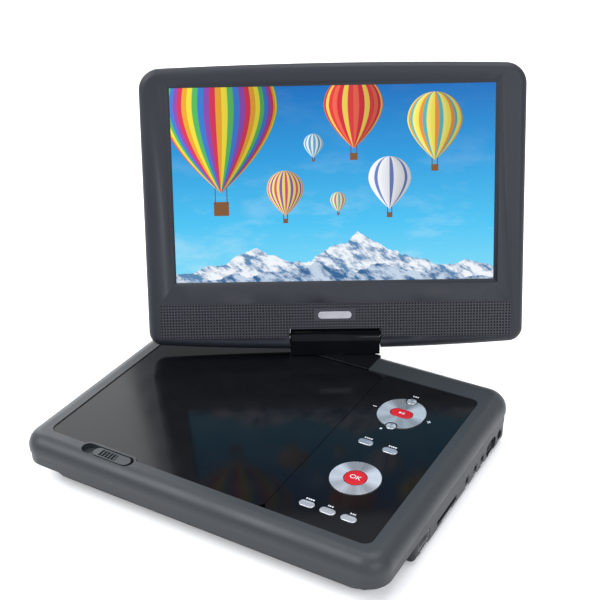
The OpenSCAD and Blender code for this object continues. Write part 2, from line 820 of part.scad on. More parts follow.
module idler_gear() {
    color("ivory") translate([idler_x, idler_y, chassis_z + chassis_t]) difference() {
        union() {
            translate([0, 0, 0.3]) toothed(idler_big_r, 22, 0.7);
            translate([0, 0, 0.9]) toothed(idler_r, 12, 3.6);
        }
        cylinder(r = 1 + running, h = 20, center = true);
    }
}

module motor_pinion() {
    color("ivory") translate([idler_x, pinion_y, chassis_z + chassis_t + 0.2]) difference() {
        toothed(pinion_r, 8, 1.6);
        cylinder(r = 0.75 + 0.02, h = 20, center = true);
    }
    color("silver") round_post(idler_x, pinion_y, 0.75, chassis_z - 0.5, chassis_z + chassis_t + 2.2);
}

module sled_motor() {
    color("#b9bcc0") difference() {
        round_post(idler_x, pinion_y, 5, floor_z + 0.6, chassis_z - 0.1);
        round_post(idler_x, pinion_y, 0.75 + running, chassis_z - 4, chassis_z + 1);
    }
}

// Swivel under and in the hinge block
module hinge_platform() {
    color("#121417") difference() {
        block3(-platform_w / 2, platform_w / 2, panel_back + 0.4, base_back - 2.8,
            rim_z - 4.9, platform_top);
        round_post(0, swivel_y, tube_r + 0.5, 0, 60);
    }
}

module swivel_bracket() {
    color("#9aa0a6") difference() {
        slab(rim_z - 8.2, rim_z - 6.8) translate([0, swivel_y]) rounded(44, 2 * tube_r + 1.6, 2);
        round_post(0, swivel_y, tube_r + running, 0, 60);
    }
}

module swivel_washer() {
    color("silver") difference() {
        round_post(0, swivel_y, tube_r + 0.9, rim_z - 6.8, rim_z - 5.8);
        round_post(0, swivel_y, tube_r + 0.1, 0, 60);
    }
}

module in_block() {
    translate([0, swivel_y, tilt_z]) rotate([0, 0, swivel_turn]) children();
}

module shaft_line(l, r) {
    translate([-l / 2, 0, 0]) rotate([0, 90, 0]) cylinder(r = r, h = l);
}

module swivel_post() {
    color("#9aa0a6") in_block() difference() {
        union() {
            block3(-20, 20, -core_y, core_y, block_bottom + cap_wall, core_top);
            translate([0, 0, rim_z - 9.8 - tilt_z]) cylinder(r = tube_r, h = 9.8 + plate_t + cap_wall + tiny);
        }
        shaft_line(60, shaft_r + 0.02);
        translate([0, 0, rim_z - 11 - tilt_z]) cylinder(r = 3, h = 10 + plate_t - block_bottom / 10);
        translate([0, 0, rim_z - 9.3 - tilt_z]) rotate_extrude()
            translate([tube_r - 0.6, 0]) square([2, 0.9]);
    }
}

module swivel_retainer() {
    color("silver") in_block() translate([0, 0, rim_z - 9.25 - tilt_z]) difference() {
        cylinder(r = 7.5, h = 0.8);
        translate([0, 0, -1]) cylinder(r = tube_r - 0.58, h = 3);
    }
}

module swivel_plate() {
    color("#121417") in_block() difference() {
        translate([0, 0, block_bottom - plate_t]) cylinder(r = 9, h = plate_t);
        translate([0, 0, block_bottom - 1]) cylinder(r = tube_r + 0.02, h = 2);
    }
}

module tilt_shaft() {
    color("silver") in_block() shaft_line(block_w + 17, shaft_r);
}

module block_profile(r, low) {
    circle(r);
    translate([-r, low]) square([2 * r, -low]);
}

module hinge_cap(s) {
    color("#121417") in_block() difference() {
        translate([-block_w / 2, 0, 0]) rotate([90, 0, 90]) linear_extrude(block_w) difference() {
            block_profile(block_r, block_bottom);
            translate([s > 0 ? -20 : 0, -20]) square([20, 40]);
        }
        translate([-block_w / 2 + cap_wall, 0, 0]) rotate([90, 0, 90])
            linear_extrude(block_w - 2 * cap_wall)
                block_profile(block_r - cap_wall, block_bottom + cap_wall);
        shaft_line(block_w + 2, shaft_r + 0.02);
        translate([0, 0, block_bottom - 1]) cylinder(r = tube_r + 0.02, h = 3);
    }
}

module hinge_cap_front() { hinge_cap(-1); }
module hinge_cap_rear() { hinge_cap(1); }

// Screen, drawn upright with the tilt axis as its origin
module on_screen() {
    in_block() rotate([-tilt_back, 0, 0]) children();
}

// Corner arc of an outline, as points
function arc(x, z, r, from, to, steps) =
    [for (i = [0:steps]) let (a = from + (to - from) * i / steps) [x + r * cos(a), z + r * sin(a)]];

// Outline of the housing, drawn in by inset
function screen_outline(inset) = let (
    half = screen_w / 2,
    low = bottom_edge + bottom_crown,
    high = top_edge - top_crown,
    steps = 12
) concat(
    arc(-half + bottom_corner, low + bottom_corner, bottom_corner - inset, 180, 262, 6),
    [for (i = [1:steps - 1]) let (t = 2 * i / steps - 1)
        [t * (half - bottom_corner), bottom_edge + inset + bottom_crown * t * t]],
    arc(half - bottom_corner, low + bottom_corner, bottom_corner - inset, 278, 360, 6),
    arc(half - top_corner, high - top_corner, top_corner - inset, 0, 86, 6),
    [for (i = [1:steps - 1]) let (t = 1 - 2 * i / steps)
        [t * (half - top_corner), top_edge - inset - top_crown * t * t]],
    arc(-half + top_corner, high - top_corner, top_corner - inset, 94, 180, 6)
);

// Slab of the housing between two depths, drawn in by inset
module screen_slab(y0, y1, inset) {
    translate([0, y1, 0]) rotate([90, 0, 0]) linear_extrude(y1 - y0)
        polygon(screen_outline(inset));
}

// Housing with its long edges rounded by four steps of the arc
module screen_body() {
    hull() {
        for (k = [0:4]) {
            a = 90 * k / 4;
            short = edge_r * (1 - sin(a));
            screen_slab(front_face + short, back_face - short, edge_r * (1 - cos(a)));
        }
    }
}

module screen_inside(y0, y1) {
    screen_slab(y0, y1, screen_wall + 1.2);
}

module hinge_notch() {
    block3(-notch_half, notch_half, -30, 30, -30, block_top_gap);
}

module notch_lining(y0, y1) {
    block3(-notch_half - screen_wall, notch_half + screen_wall, y0, y1,
        bottom_edge + 1.2, block_top_gap + screen_wall);
}

module screen_bezel() {
    back = split_y;
    color("#3e434d") on_screen() difference() {
        intersection() {
            screen_body();
            block3(-300, 300, front_face - 1, back, -300, 600);
        }
        difference() {
            screen_inside(front_face + screen_wall, back + 1);
            notch_lining(front_face, back + 2);
        }
        hinge_notch();
        block3(-picture_w / 2, picture_w / 2, front_face - 1, back + 1,
            picture_z, picture_z + picture_h);
        picture_chamfer();
        block3(-grille_half - 0.1, grille_half + 0.1, front_face - 1, front_face + grille_t + 0.1,
            grille_z - 0.1, grille_z + grille_h + 0.1);
        for (s = [-1, 1]) block3(s * speaker_x - speaker_w / 2, s * speaker_x + speaker_w / 2,
            front_face - 1, back + 1, grille_z + 1.5, grille_z + grille_h - 1.5);
    }
}

module picture_chamfer() {
    hull() {
        block3(-picture_w / 2 - picture_bevel, picture_w / 2 + picture_bevel,
            front_face - tiny, front_face, picture_z - picture_bevel,
            picture_z + picture_h + picture_bevel);
        block3(-picture_w / 2, picture_w / 2, front_face + 1.4, front_face + 1.4 + tiny,
            picture_z, picture_z + picture_h);
    }
}

module screen_rear_cover() {
    color("#343a43") on_screen() difference() {
        intersection() {
            screen_body();
            block3(-300, 300, split_y + 0.05, back_face + 1, -300, 600);
        }
        difference() {
            screen_inside(split_y - 1, back_face - screen_wall);
            notch_lining(split_y - 2, back_face);
        }
        hinge_notch();
        shaft_line(block_w + 12, shaft_r + 0.4);
        for (x = [-2:2]) block3(x * 9 - 2.6, x * 9 + 2.6, back_face - 5, back_face + 1, 120, 121.6);
    }
}

module speaker_grille() {
    color("#45434e") on_screen() difference() {
        block3(-grille_half, grille_half, front_face, front_face + grille_t,
            grille_z, grille_z + grille_h);
        block3(-notch_half - 0.02, notch_half + 0.02, -30, 30, -30, block_top_gap);
        translate([0, 0, grille_z + 14.2]) rotate([90, 0, 0]) linear_extrude(60, center = true)
            pill(21.2, 4.8);
    }
}

module sensor_window() {
    color("#c9ccd0") on_screen() translate([0, front_face + grille_t, grille_z + 14.2])
        rotate([90, 0, 0]) linear_extrude(grille_t + 0.3) pill(21, 4.6);
}

module lcd_panel() {
    color("#88aacc") on_screen() block3(-picture_w / 2 - 2, picture_w / 2 + 2,
        front_face + screen_wall + 0.05, front_face + screen_wall + 2.4,
        picture_z - 2, picture_z + picture_h + 2);
}

module lcd_frame() {
    y0 = front_face + screen_wall + 2.45;
    color("#9aa0a6") on_screen() difference() {
        block3(-picture_w / 2 - 3, picture_w / 2 + 3, y0, y0 + 4.4,
            picture_z - 3, picture_z + picture_h + 3);
        block3(-picture_w / 2 + 4, picture_w / 2 - 4, y0 + 0.8, y0 + 5,
            picture_z + 4, picture_z + picture_h - 4);
    }
}

module speakers() {
    y0 = front_face + grille_t + 0.2;
    color("#202327") on_screen() for (s = [-1, 1]) translate([s * speaker_x, 0, 0]) {
        difference() {
            block3(-speaker_w / 2 + 0.3, speaker_w / 2 - 0.3, y0, y0 + 4.2,
                grille_z + 1.8, grille_z + grille_h - 1.8);
            translate([0, y0 - tiny, grille_z + grille_h / 2]) rotate([-90, 0, 0])
                cylinder(r1 = 8.6, r2 = 3, h = 2.6);
        }
        translate([0, y0 + 4.1, grille_z + grille_h / 2]) rotate([-90, 0, 0]) cylinder(r = 7, h = 3.4);
    }
}

module screen_board() {
    y0 = front_face + screen_wall + 7.2;
    color("#1f5a3c") on_screen() {
        block3(-70, 70, y0, y0 + 1.4, 50, 92);
        for (i = [0:2]) block3(-50 + 32 * i, -36 + 32 * i, y0 + 1.4, y0 + 2.8, 62, 76);
    }
}

module tilt_brackets() {
    x0 = block_w / 2 + 3.2;
    color("#9aa0a6") on_screen() for (s = [-1, 1]) difference() {
        union() {
            block3(min(s * x0, s * (x0 + 4)), max(s * x0, s * (x0 + 4)), -4, 4, -3.2, 7);
            block3(min(s * x0, s * (x0 + 18)), max(s * x0, s * (x0 + 18)), 1.4, 3, 6, 22);
        }
        shaft_line(120, shaft_r + running);
    }
}

base_top_cover();
base_bottom_cover();
port_panel();
hinge_platform();
control_panel();
disc_tray();
rubber_feet();
base_screws();
battery_pack();
battery_door();
main_board();
key_board();
dc_jack();
audio_jacks();
usb_socket();
card_socket();
drive_chassis();
chassis_dampers();
guide_rods();
spindle_motor();
sled_motor();
lid_hinge_pins();
swivel_bracket();
swivel_washer();
disc_lid();
lid_latch();
spindle_hub();
pickup_sled();
sled_rack();
pickup_lens();
idler_gear();
motor_pinion();
volume_pad();
play_button();
mute_button();
stop_button();
setup_button();
menu_button();
direction_gimbal();
direction_ring();
ok_button();
source_button();
previous_button();
next_button();
power_switch();
swivel_post();
swivel_plate();
swivel_retainer();
tilt_shaft();
hinge_cap_front();
hinge_cap_rear();
screen_bezel();
screen_rear_cover();
lcd_panel();
lcd_frame();
speaker_grille();
sensor_window();
speakers();
screen_board();
tilt_brackets();
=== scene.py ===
"""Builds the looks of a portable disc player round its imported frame."""

import json
import math
from contextlib import contextmanager

import bmesh
import bpy
from mathutils import Matrix, Vector


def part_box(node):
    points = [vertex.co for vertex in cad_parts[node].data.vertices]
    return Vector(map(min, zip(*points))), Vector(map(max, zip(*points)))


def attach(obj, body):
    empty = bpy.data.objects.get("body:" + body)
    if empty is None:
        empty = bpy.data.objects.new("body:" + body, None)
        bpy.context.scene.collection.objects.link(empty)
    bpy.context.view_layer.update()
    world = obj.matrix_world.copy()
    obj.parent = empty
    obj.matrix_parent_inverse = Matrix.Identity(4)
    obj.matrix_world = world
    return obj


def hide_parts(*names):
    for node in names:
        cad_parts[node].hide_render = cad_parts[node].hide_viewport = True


bl_info = {
    "name": "Portable Disc Player",
    "version": (1, 0, 0),
    "blender": (4, 5, 0),
    "location": "View3D > Sidebar > Disc Player",
    "description": "Models the shells, keys, grille and display of a portable disc player round its frame",
    "category": "Object",
}

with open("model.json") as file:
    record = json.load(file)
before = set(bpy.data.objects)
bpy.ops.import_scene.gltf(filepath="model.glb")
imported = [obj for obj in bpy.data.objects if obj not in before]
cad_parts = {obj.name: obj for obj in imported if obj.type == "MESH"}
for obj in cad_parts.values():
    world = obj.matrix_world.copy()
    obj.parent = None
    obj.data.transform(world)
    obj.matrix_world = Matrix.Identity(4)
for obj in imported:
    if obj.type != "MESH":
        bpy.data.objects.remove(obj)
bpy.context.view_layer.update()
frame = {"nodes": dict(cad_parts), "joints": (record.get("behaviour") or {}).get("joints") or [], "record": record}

MM = 0.001


def joint(name):
    return next(j for j in frame["joints"] if j["name"] == name)


def box_mm(node):
    """Low and high corner of a frame node, in millimetres."""
    low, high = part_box(node)
    return low / MM, high / MM


# Places that follow from the frame
TURN = -joint("screen_swivel")["range_deg"][0]
LEAN = -joint("screen_tilt")["range_deg"][0] - 90
AXIS = Vector(joint("screen_tilt")["pos_m"]) / MM
BLOCK_PLACE = (Matrix.Translation(AXIS * MM) @ Matrix.Rotation(math.radians(TURN), 4, "Z"))
SCREEN_PLACE = BLOCK_PLACE @ Matrix.Rotation(math.radians(-LEAN), 4, "X")


# Sizes and colours that a user may change

def length(name, default, text):
    return bpy.props.FloatProperty(name=name, description=text, default=default * MM, unit="LENGTH",
                                   precision=5)


def colour(name, default, text):
    return bpy.props.FloatVectorProperty(name=name, description=text, default=default, size=3,
                                         min=0, max=1, subtype="COLOR")


class PlayerSizes(bpy.types.PropertyGroup):
    edge: length("Edge rounding", 0.35, "Rounding of the edges of panels and keys")
    shell_edge: length("Shell rounding", 0.6, "Rounding of the lower shell's ledges")
    hole: length("Grille hole", 1.1, "Width of one hole of the speaker grille")
    hole_depth: length("Grille hole depth", 0.8, "Depth of one hole of the speaker grille")
    mark: length("Mark height", 0.04, "Thickness of the printed marks")


class PlayerColours(bpy.types.PropertyGroup):
    rim: colour("Rim", (0.0235, 0.0275, 0.0315), "Satin slate paint of the top cover's rim")
    shell: colour("Lower shell", (0.013, 0.016, 0.020), "Matte plastic of the lower shell")
    gloss: colour("Gloss panel", (0.0035, 0.0038, 0.0048), "Polished black of the lid and the control panel")
    bezel: colour("Screen housing", (0.0100, 0.0125, 0.0180), "Matte blue-grey of the screen housing")
    grille: colour("Grille", (0.026, 0.025, 0.035), "Matte plastic of the speaker grille")
    key: colour("Keys", (0.44, 0.45, 0.475), "Spun metal face of the keys")
    accent: colour("Accent keys", (0.33, 0.004, 0.010), "Red of the play and confirm keys")
    mark: colour("Marks", (0.46, 0.48, 0.52), "Pale print beside the keys and sockets")


class PlayerStage(bpy.types.PropertyGroup):
    place: bpy.props.FloatVectorProperty(name="Camera place", description="Where the camera stands",
                                         default=(0.291, -0.450, 0.401), size=3, subtype="TRANSLATION",
                                         unit="LENGTH")
    aim: bpy.props.FloatVectorProperty(name="Camera aim", description="Point that the camera looks at",
                                       default=(0.004, 0.030, 0.092), size=3, subtype="TRANSLATION",
                                       unit="LENGTH")
    lens: bpy.props.FloatProperty(name="Lens", description="Focal length of the camera", default=66.0,
                                  unit="CAMERA")
    roll: bpy.props.FloatProperty(name="Camera roll",
                                  description="Turn of the camera about its line of sight",
                                  default=math.radians(-1.5), subtype="ANGLE", unit="ROTATION")
    floor: colour("Floor", (0.90, 0.90, 0.905), "Plain pale floor")


# Shader mixing

class Tap:
    """A socket of a material; sums on it add Math nodes."""

    def __init__(self, paint, socket):
        self.paint, self.socket = paint, socket

    def _math(self, operation, *values):
        return self.paint.node("ShaderNodeMath", {"operation": operation}, dict(enumerate(values)))

    def __add__(self, other):
        return self._math("ADD", self, other)

    def __sub__(self, other):
        return self._math("SUBTRACT", self, other)

    def __rsub__(self, other):
        return self._math("SUBTRACT", other, self)

    def __mul__(self, other):
        return self._math("MULTIPLY", self, other)

    def __truediv__(self, other):
        return self._math("DIVIDE", self, other)

    def __pow__(self, other):
        return self._math("POWER", self, other)

    def __lt__(self, other):
        return self._math("LESS_THAN", self, other)

    def __gt__(self, other):
        return self._math("GREATER_THAN", self, other)

    def __abs__(self):
        return self._math("ABSOLUTE", self)

    __radd__, __rmul__ = __add__, __mul__

    def over(self, operation, *values):
        return self._math(operation, self, *values)


class Paint:
    """A material with one Principled shader, mixed by node()."""

    def __init__(self, name, **constants):
        self.material = bpy.data.materials.new(name)
        self.material.use_nodes = True
        self.tree = self.material.node_tree
        self.shader = next(n for n in self.tree.nodes if n.type == "BSDF_PRINCIPLED")
        self.set(**constants)

    def set(self, **values):
        """Sets or links the shader's sockets; base_color stands for Base Color."""
        for key, value in values.items():
            self.feed(self.shader.inputs[SOCKETS[key]], value)

    def feed(self, socket, value):
        if isinstance(value, Tap):
            self.tree.links.new(value.socket, socket)
        elif hasattr(value, "__len__") and socket.type == "RGBA":
            socket.default_value = (*value, 1.0) if len(value) == 3 else value
        else:
            socket.default_value = value

    def node(self, kind, settings=None, sockets=None, out=0):
        """Adds a node of this type with its settings, then its socket values or links."""
        made = self.tree.nodes.new(kind)
        for key, value in (settings or {}).items():
            if key == "stops":
                ramp = made.color_ramp
                while len(ramp.elements) < len(value):
                    ramp.elements.new(0.5)
                for element, (place, shade) in zip(ramp.elements, value):
                    element.position = place
                    element.color = (*shade, 1.0)
            elif key == "steps":
                made.color_ramp.interpolation = value
            else:
                setattr(made, key, value)
        for key, value in (sockets or {}).items():
            self.feed(made.inputs[key], value)
        return Tap(self, made.outputs[out])

    def place(self):
        return self.node("ShaderNodeTexCoord", out="Object")

    def split(self, vector):
        """The three parts of a vector."""
        first = self.node("ShaderNodeSeparateXYZ", sockets={0: vector})
        return [Tap(self, s) for s in first.socket.node.outputs]

    def noise(self, scale, detail=2.0, vector=None, rough=0.5):
        return self.node("ShaderNodeTexNoise", None,
                         {"Vector": vector or self.place(), "Scale": scale, "Detail": detail,
                          "Roughness": rough})

    def mix(self, factor, a, b, blend="MIX"):
        return self.node("ShaderNodeMix", {"data_type": "RGBA", "blend_type": blend},
                         {0: factor, 6: a, 7: b}, out=2)

    def spread(self, value, low, high, to_low, to_high):
        """Maps a value's range to another, clamped."""
        return self.node("ShaderNodeMapRange", None, {0: value, 1: low, 2: high, 3: to_low, 4: to_high})

    def bump(self, height, strength, distance):
        self.set(normal=self.node("ShaderNodeBump", None,
                                  {"Strength": strength, "Distance": distance, "Height": height}))


SOCKETS = {"base_color": "Base Color", "roughness": "Roughness", "metallic": "Metallic",
           "coat": "Coat Weight",
           "coat_roughness": "Coat Roughness", "specular": "Specular IOR Level", "emission": "Emission Color",
           "strength": "Emission Strength", "normal": "Normal", "ior": "IOR",
           "transmission": "Transmission Weight"}


def shade(colour_in, factor):
    return tuple(min(1.0, c * factor) for c in colour_in)


def moulded(name, base, rough=0.5, grain=2600.0, depth=0.03, patch=0.12, **more):
    """Moulded plastic: fine spark-eroded grain and faint patches of tone."""
    paint = Paint(name, **more)
    fine = paint.noise(grain, 3.0)
    broad = paint.noise(22.0, 3.0)
    tone = paint.spread(broad, 0.35, 0.65, 1 - patch, 1 + patch)
    paint.set(base_color=paint.mix(1.0, tuple(base), paint.node(
        "ShaderNodeCombineXYZ", None, {0: tone, 1: tone, 2: tone}), "MULTIPLY"))
    paint.set(roughness=paint.spread(broad + fine * 0.4, 0.4, 0.95, rough - 0.05, rough + 0.08))
    paint.bump(fine, 0.35, depth * MM)
    return paint.material


def satin_metal(name, base, rough=0.42, metallic=0.2, fleck=5200.0):
    """Satin metallic paint: fine flake in the colour and a soft orange-peel surface."""
    paint = Paint(name, metallic=metallic, coat=0.05, coat_roughness=0.3, specular=0.3)
    flake = paint.noise(fleck, 1.0)
    peel = paint.noise(620.0, 2.0)
    wear = paint.noise(34.0, 4.0)
    paint.set(base_color=paint.mix(paint.spread(flake, 0.42, 0.62, 0.0, 1.0), shade(base, 0.88),
                                   shade(base, 1.2)))
    paint.set(roughness=paint.spread(wear, 0.3, 0.7, rough - 0.04, rough + 0.07))
    paint.bump(peel + flake * 0.3, 0.10, 0.04 * MM)
    return paint.material


def polished(name, base, rough=0.07, coat=0.6, specular=0.36):
    """Polished plastic: a clear deep gloss with the faintest dust and hairlines."""
    paint = Paint(name, coat=coat, coat_roughness=0.05, specular=specular)
    haze = paint.noise(60.0, 5.0)
    hair = paint.node("ShaderNodeTexNoise", None, {
        "Vector": paint.node("ShaderNodeMapping", None,
                             {"Vector": paint.place(), "Scale": (900.0, 14.0, 900.0),
                                                         "Rotation": (0.0, 0.0, 0.5)}),
        "Scale": 1.0, "Detail": 3.0})
    paint.set(roughness=paint.spread(haze + hair * 0.25, 0.45, 0.8, rough, rough + 0.035))
    paint.set(base_color=paint.mix(paint.spread(haze, 0.4, 0.7, 0.0, 1.0), tuple(base), shade(base, 1.25)))
    paint.bump(hair, 0.015, 0.01 * MM)
    return paint.material


def spun_metal(name, base, centre):
    """Metal face spun on a lathe: fine rings in the colour, with pale and dark sectors and radial streaks painted
    in as a fixed sheen.
    """
    paint = Paint(name, metallic=0.85)
    x, y, _ = paint.split(paint.place())
    dx, dy = x - centre[0] * MM, y - centre[1] * MM
    reach = (dx * dx + dy * dy) ** 0.5
    angle = dy.over("ARCTAN2", dx)
    # painted highlight: pale and dark sectors by angle, a fixed sheen of the spun face
    painted_sheen = (angle * 2.0 + 0.9).over("SINE") * 0.5 + (angle * 3.0 - 0.4).over("SINE") * 0.3 + \
        (angle * 7.0 + 1.3).over("SINE") * 0.2
    rings = paint.node("ShaderNodeTexNoise", {"noise_dimensions": "1D"},
                       {"W": reach, "Scale": 9000.0, "Detail": 3.0})
    # painted highlight: radial streaks by angle, more of the same fixed sheen
    painted_streaks = paint.node("ShaderNodeTexNoise", {"noise_dimensions": "1D"},
                        {"W": angle, "Scale": 14.0, "Detail": 4.0})
    # tone: painted sheen from the sectors and streaks, plus the real turning rings
    tone = paint.spread(painted_sheen + painted_streaks * 0.9 + rings * 0.5, -0.1, 1.5, 0.0, 1.0)
    paint.set(base_color=paint.mix(tone, shade(base, 0.50), shade(base, 1.5)))
    paint.set(roughness=paint.spread(rings, 0.3, 0.7, 0.30, 0.42))
    paint.bump(rings, 0.12, 0.012 * MM)
    return paint.material


def brushed_metal(name, base, rough=0.32, along=(40.0, 2600.0, 2600.0)):
    """Rolled or brushed metal: streaks along one direction."""
    paint = Paint(name, metallic=0.95)
    streak = paint.node("ShaderNodeTexNoise", None, {
        "Vector": paint.node("ShaderNodeMapping", None, {"Vector": paint.place(), "Scale": along}),
        "Scale": 1.0, "Detail": 4.0})
    paint.set(base_color=paint.mix(paint.spread(streak, 0.35, 0.65, 0.0, 1.0), shade(base, 0.8),
                                   shade(base, 1.12)))
    paint.set(roughness=paint.spread(streak, 0.3, 0.7, rough - 0.06, rough + 0.08))
    paint.bump(streak, 0.1, 0.01 * MM)
    return paint.material


# Modelling helpers

def only(piece):
    """Selects one piece alone and makes it the active one."""
    if bpy.context.object and bpy.context.object.mode != "OBJECT":
        bpy.ops.object.mode_set(mode="OBJECT")
    bpy.ops.object.select_all(action="DESELECT")
    piece.select_set(True)
    bpy.context.view_layer.objects.active = piece
    return piece


def settle(name):
    """Names the new active object and moves its place, turn and size into its mesh."""
    piece = bpy.context.object
    piece.name = piece.data.name = name
    bpy.ops.object.transform_apply(location=True, rotation=True, scale=True)
    return piece


def block(name, low, high):
    bpy.ops.object.select_all(action="DESELECT")
    low, high = Vector(low) * MM, Vector(high) * MM
    bpy.ops.mesh.primitive_cube_add(size=1, location=(low + high) / 2, scale=high - low)
    return settle(name)


def drum(name, centre, radius, low, high, sides=48, along="Z"):
    """A cylinder from low to high along one axis; centre holds the other two places."""
    bpy.ops.object.select_all(action="DESELECT")
    middle = (low + high) / 2
    place, turn = {"Z": ((*centre, middle), (0, 0, 0)), "X": ((middle, *centre), (0, math.pi / 2, 0)),
                   "Y": ((centre[0], middle, centre[1]), (math.pi / 2, 0, 0))}[along]
    bpy.ops.mesh.primitive_cylinder_add(vertices=sides, radius=radius * MM, depth=(high - low) * MM,
                                        location=Vector(place) * MM, rotation=turn)
    return settle(name)


@contextmanager
def editing(piece, kind="EDGE"):
    """Edit mode on one piece, with nothing selected at the start."""
    only(piece)
    bpy.ops.object.mode_set(mode="EDIT")
    bpy.ops.mesh.select_mode(type=kind)
    bpy.ops.mesh.select_all(action="DESELECT")
    yield
    bpy.ops.object.mode_set(mode="OBJECT")


def pick(piece, test, kind="edges"):
    """Selects the edges, faces or verts of the piece in edit mode that pass the test, and counts them."""
    mesh = bmesh.from_edit_mesh(piece.data)
    mesh.normal_update()
    chosen = [item for item in getattr(mesh, kind) if test(item)]
    for item in chosen:
        item.select_set(True)
    mesh.select_flush_mode()
    bmesh.update_edit_mesh(piece.data)
    return len(chosen)


def upright(edge):
    a, b = (v.co for v in edge.verts)
    return abs(a.z - b.z) > 0.9 * (a - b).length


def level(z):
    """Test for a sharp edge that lies at height z, in millimetres."""
    return lambda e: all(abs(v.co.z - z * MM) < 1e-6 for v in e.verts) and len(e.link_faces) == 2 \
        and e.calc_face_angle(0) > 0.5


def plate(name, low, high, corner, steps=10):
    """A box whose four upright edges are rounded."""
    piece = block(name, low, high)
    with editing(piece):
        pick(piece, upright)
        bpy.ops.mesh.bevel(offset=corner * MM, segments=steps, affect="EDGES")
    return piece


def stretch(piece, axis, amount):
    """Moves the two halves of a piece apart along an axis, in millimetres, from its own middle."""
    index = "XYZ".index(axis)
    middle = sum(v.co[index] for v in piece.data.vertices) / len(piece.data.vertices)
    for sign in (-1, 1):
        with editing(piece, "VERT"):
            pick(piece, lambda v, s=sign: s * (v.co[index] - middle) > 1e-7, "verts")
            move = [0, 0, 0]
            move[index] = sign * amount * MM / 2
            bpy.ops.transform.translate(value=move)
    return piece


def pill(name, centre, long, wide, low, high, run="X", along="Z", sides=46):
    """A bar with half-round ends: its length runs along one axis and its height along another."""
    piece = drum(name, centre, wide / 2, low, high, sides, along)
    if along == "Z" and run == "Y":
        only(piece)
        piece.data.transform(Matrix.Translation(Vector((*centre, 0)) * MM) @ Matrix.Rotation(math.pi / 2, 4,
                                                                                             "Z")
                             @ Matrix.Translation(Vector((*centre, 0)) * -MM))
    return stretch(piece, run, long - wide)


def combine(piece, operation, tools):
    for tool in tools:
        only(piece)
        cutter = piece.modifiers.new("cut", "BOOLEAN")
        cutter.operation, cutter.solver, cutter.object = operation, "EXACT", tool
        bpy.ops.object.modifier_apply(modifier="cut")
        bpy.data.objects.remove(tool)
    return piece


def cut(piece, *tools):
    return combine(piece, "DIFFERENCE", tools)


def weld(piece, *tools):
    return combine(piece, "UNION", tools)


def soften(piece, width=0.35, steps=3, angle=32):
    """Rounds every sharp edge and shades the flats flat."""
    only(piece)
    rounding = piece.modifiers.new("round", "BEVEL")
    rounding.width, rounding.segments, rounding.limit_method = width * MM, steps, "ANGLE"
    rounding.angle_limit, rounding.use_clamp_overlap = math.radians(angle), True
    bpy.ops.object.modifier_apply(modifier="round")
    return smooth(piece)


def smooth(piece):
    only(piece)
    bpy.ops.object.shade_smooth_by_angle(angle=math.radians(40))
    weighted = piece.modifiers.new("weigh", "WEIGHTED_NORMAL")
    weighted.keep_sharp, weighted.weight = True, 80
    bpy.ops.object.modifier_apply(modifier="weigh")
    return piece


def dress(piece, body, finish, replaced=(), place=None):
    """Puts a finished piece in its place on its body, with its finish."""
    if place is not None:
        piece.data.transform(place)
    piece.data.materials.clear()
    for material in finish if isinstance(finish, (list, tuple)) else [finish]:
        piece.data.materials.append(material)
    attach(piece, body)
    if replaced:
        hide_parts(*replaced)
    return piece


def gather(name, pieces):
    """Joins pieces into one object."""
    only(pieces[0])
    for piece in pieces[1:]:
        piece.select_set(True)
    bpy.ops.object.join()
    pieces[0].name = pieces[0].data.name = name
    return pieces[0]


# Plan of the base, from the frame
rim_low, rim_high = box_mm("base_top_cover")
lid_low, lid_high = box_mm("disc_lid")
control_low, control_high = box_mm("control_panel")
shell_low, shell_high = box_mm("base_bottom_cover")
latch_low, latch_high = box_mm("lid_latch")
port_low, port_high = box_mm("port_panel")
PANEL_TOP = control_high.z
CORNER = 14
PANEL_THICK = 2.4
PANEL_UNDER = PANEL_TOP - PANEL_THICK
PANEL_GAP = 0.3
RIM_ROLL = 9
WELL_RADIUS = 64.6
LATCH_PLACE = (latch_low.x + 9.5, latch_low.y + 3.5)
LATCH_X, LATCH_Y = LATCH_PLACE
RECESS_LONG, RECESS_WIDE = 35, 8.2
SLIDE_LONG, SLIDE_WIDE = 25, 7

# Lid hinge: middles of its two arms, and its line across the base
ARM_XS = (-79.4, 16.6)
HINGE_LINE = (65.8, 25.6)
ARM_RADIUS = 1.9

# Keys
POST_RADIUS = 1.5
PILL_LONG, PILL_WIDE = 9, 4.8
PILL_KEYS = ("setup_button", "menu_button", "source_button", "previous_button", "next_button")

# Sockets on the right side
JACK_HOLE, JACK_RIM, JACK_BORE = 3.1, 2.75, 1.85
INLET_HOLE, INLET_RIM, INLET_BORE = 4, 3.7, 2.95
PORT_Z = 9.2
JACKS = (20.5, 33.0, 43.5)
SWITCH_Y, INLET_Y, USB_Y, CARD_Y = 57.0, 70.5, -37.0 - 0.6, -7.6

# Screen, upright with its tilt axis at zero
FRONT, BACK, SPLIT = -9.0, 8.0, -4.4
SCREEN_LOW, SCREEN_HIGH = -6.6, 171.0
PICTURE = (99.0, 37.4, 157.4)
GRILLE = (110.0, 1.6, 23.6)
NOTCH_X, NOTCH_Z = 28.75, 7.0
SENSOR_Z = 15.8

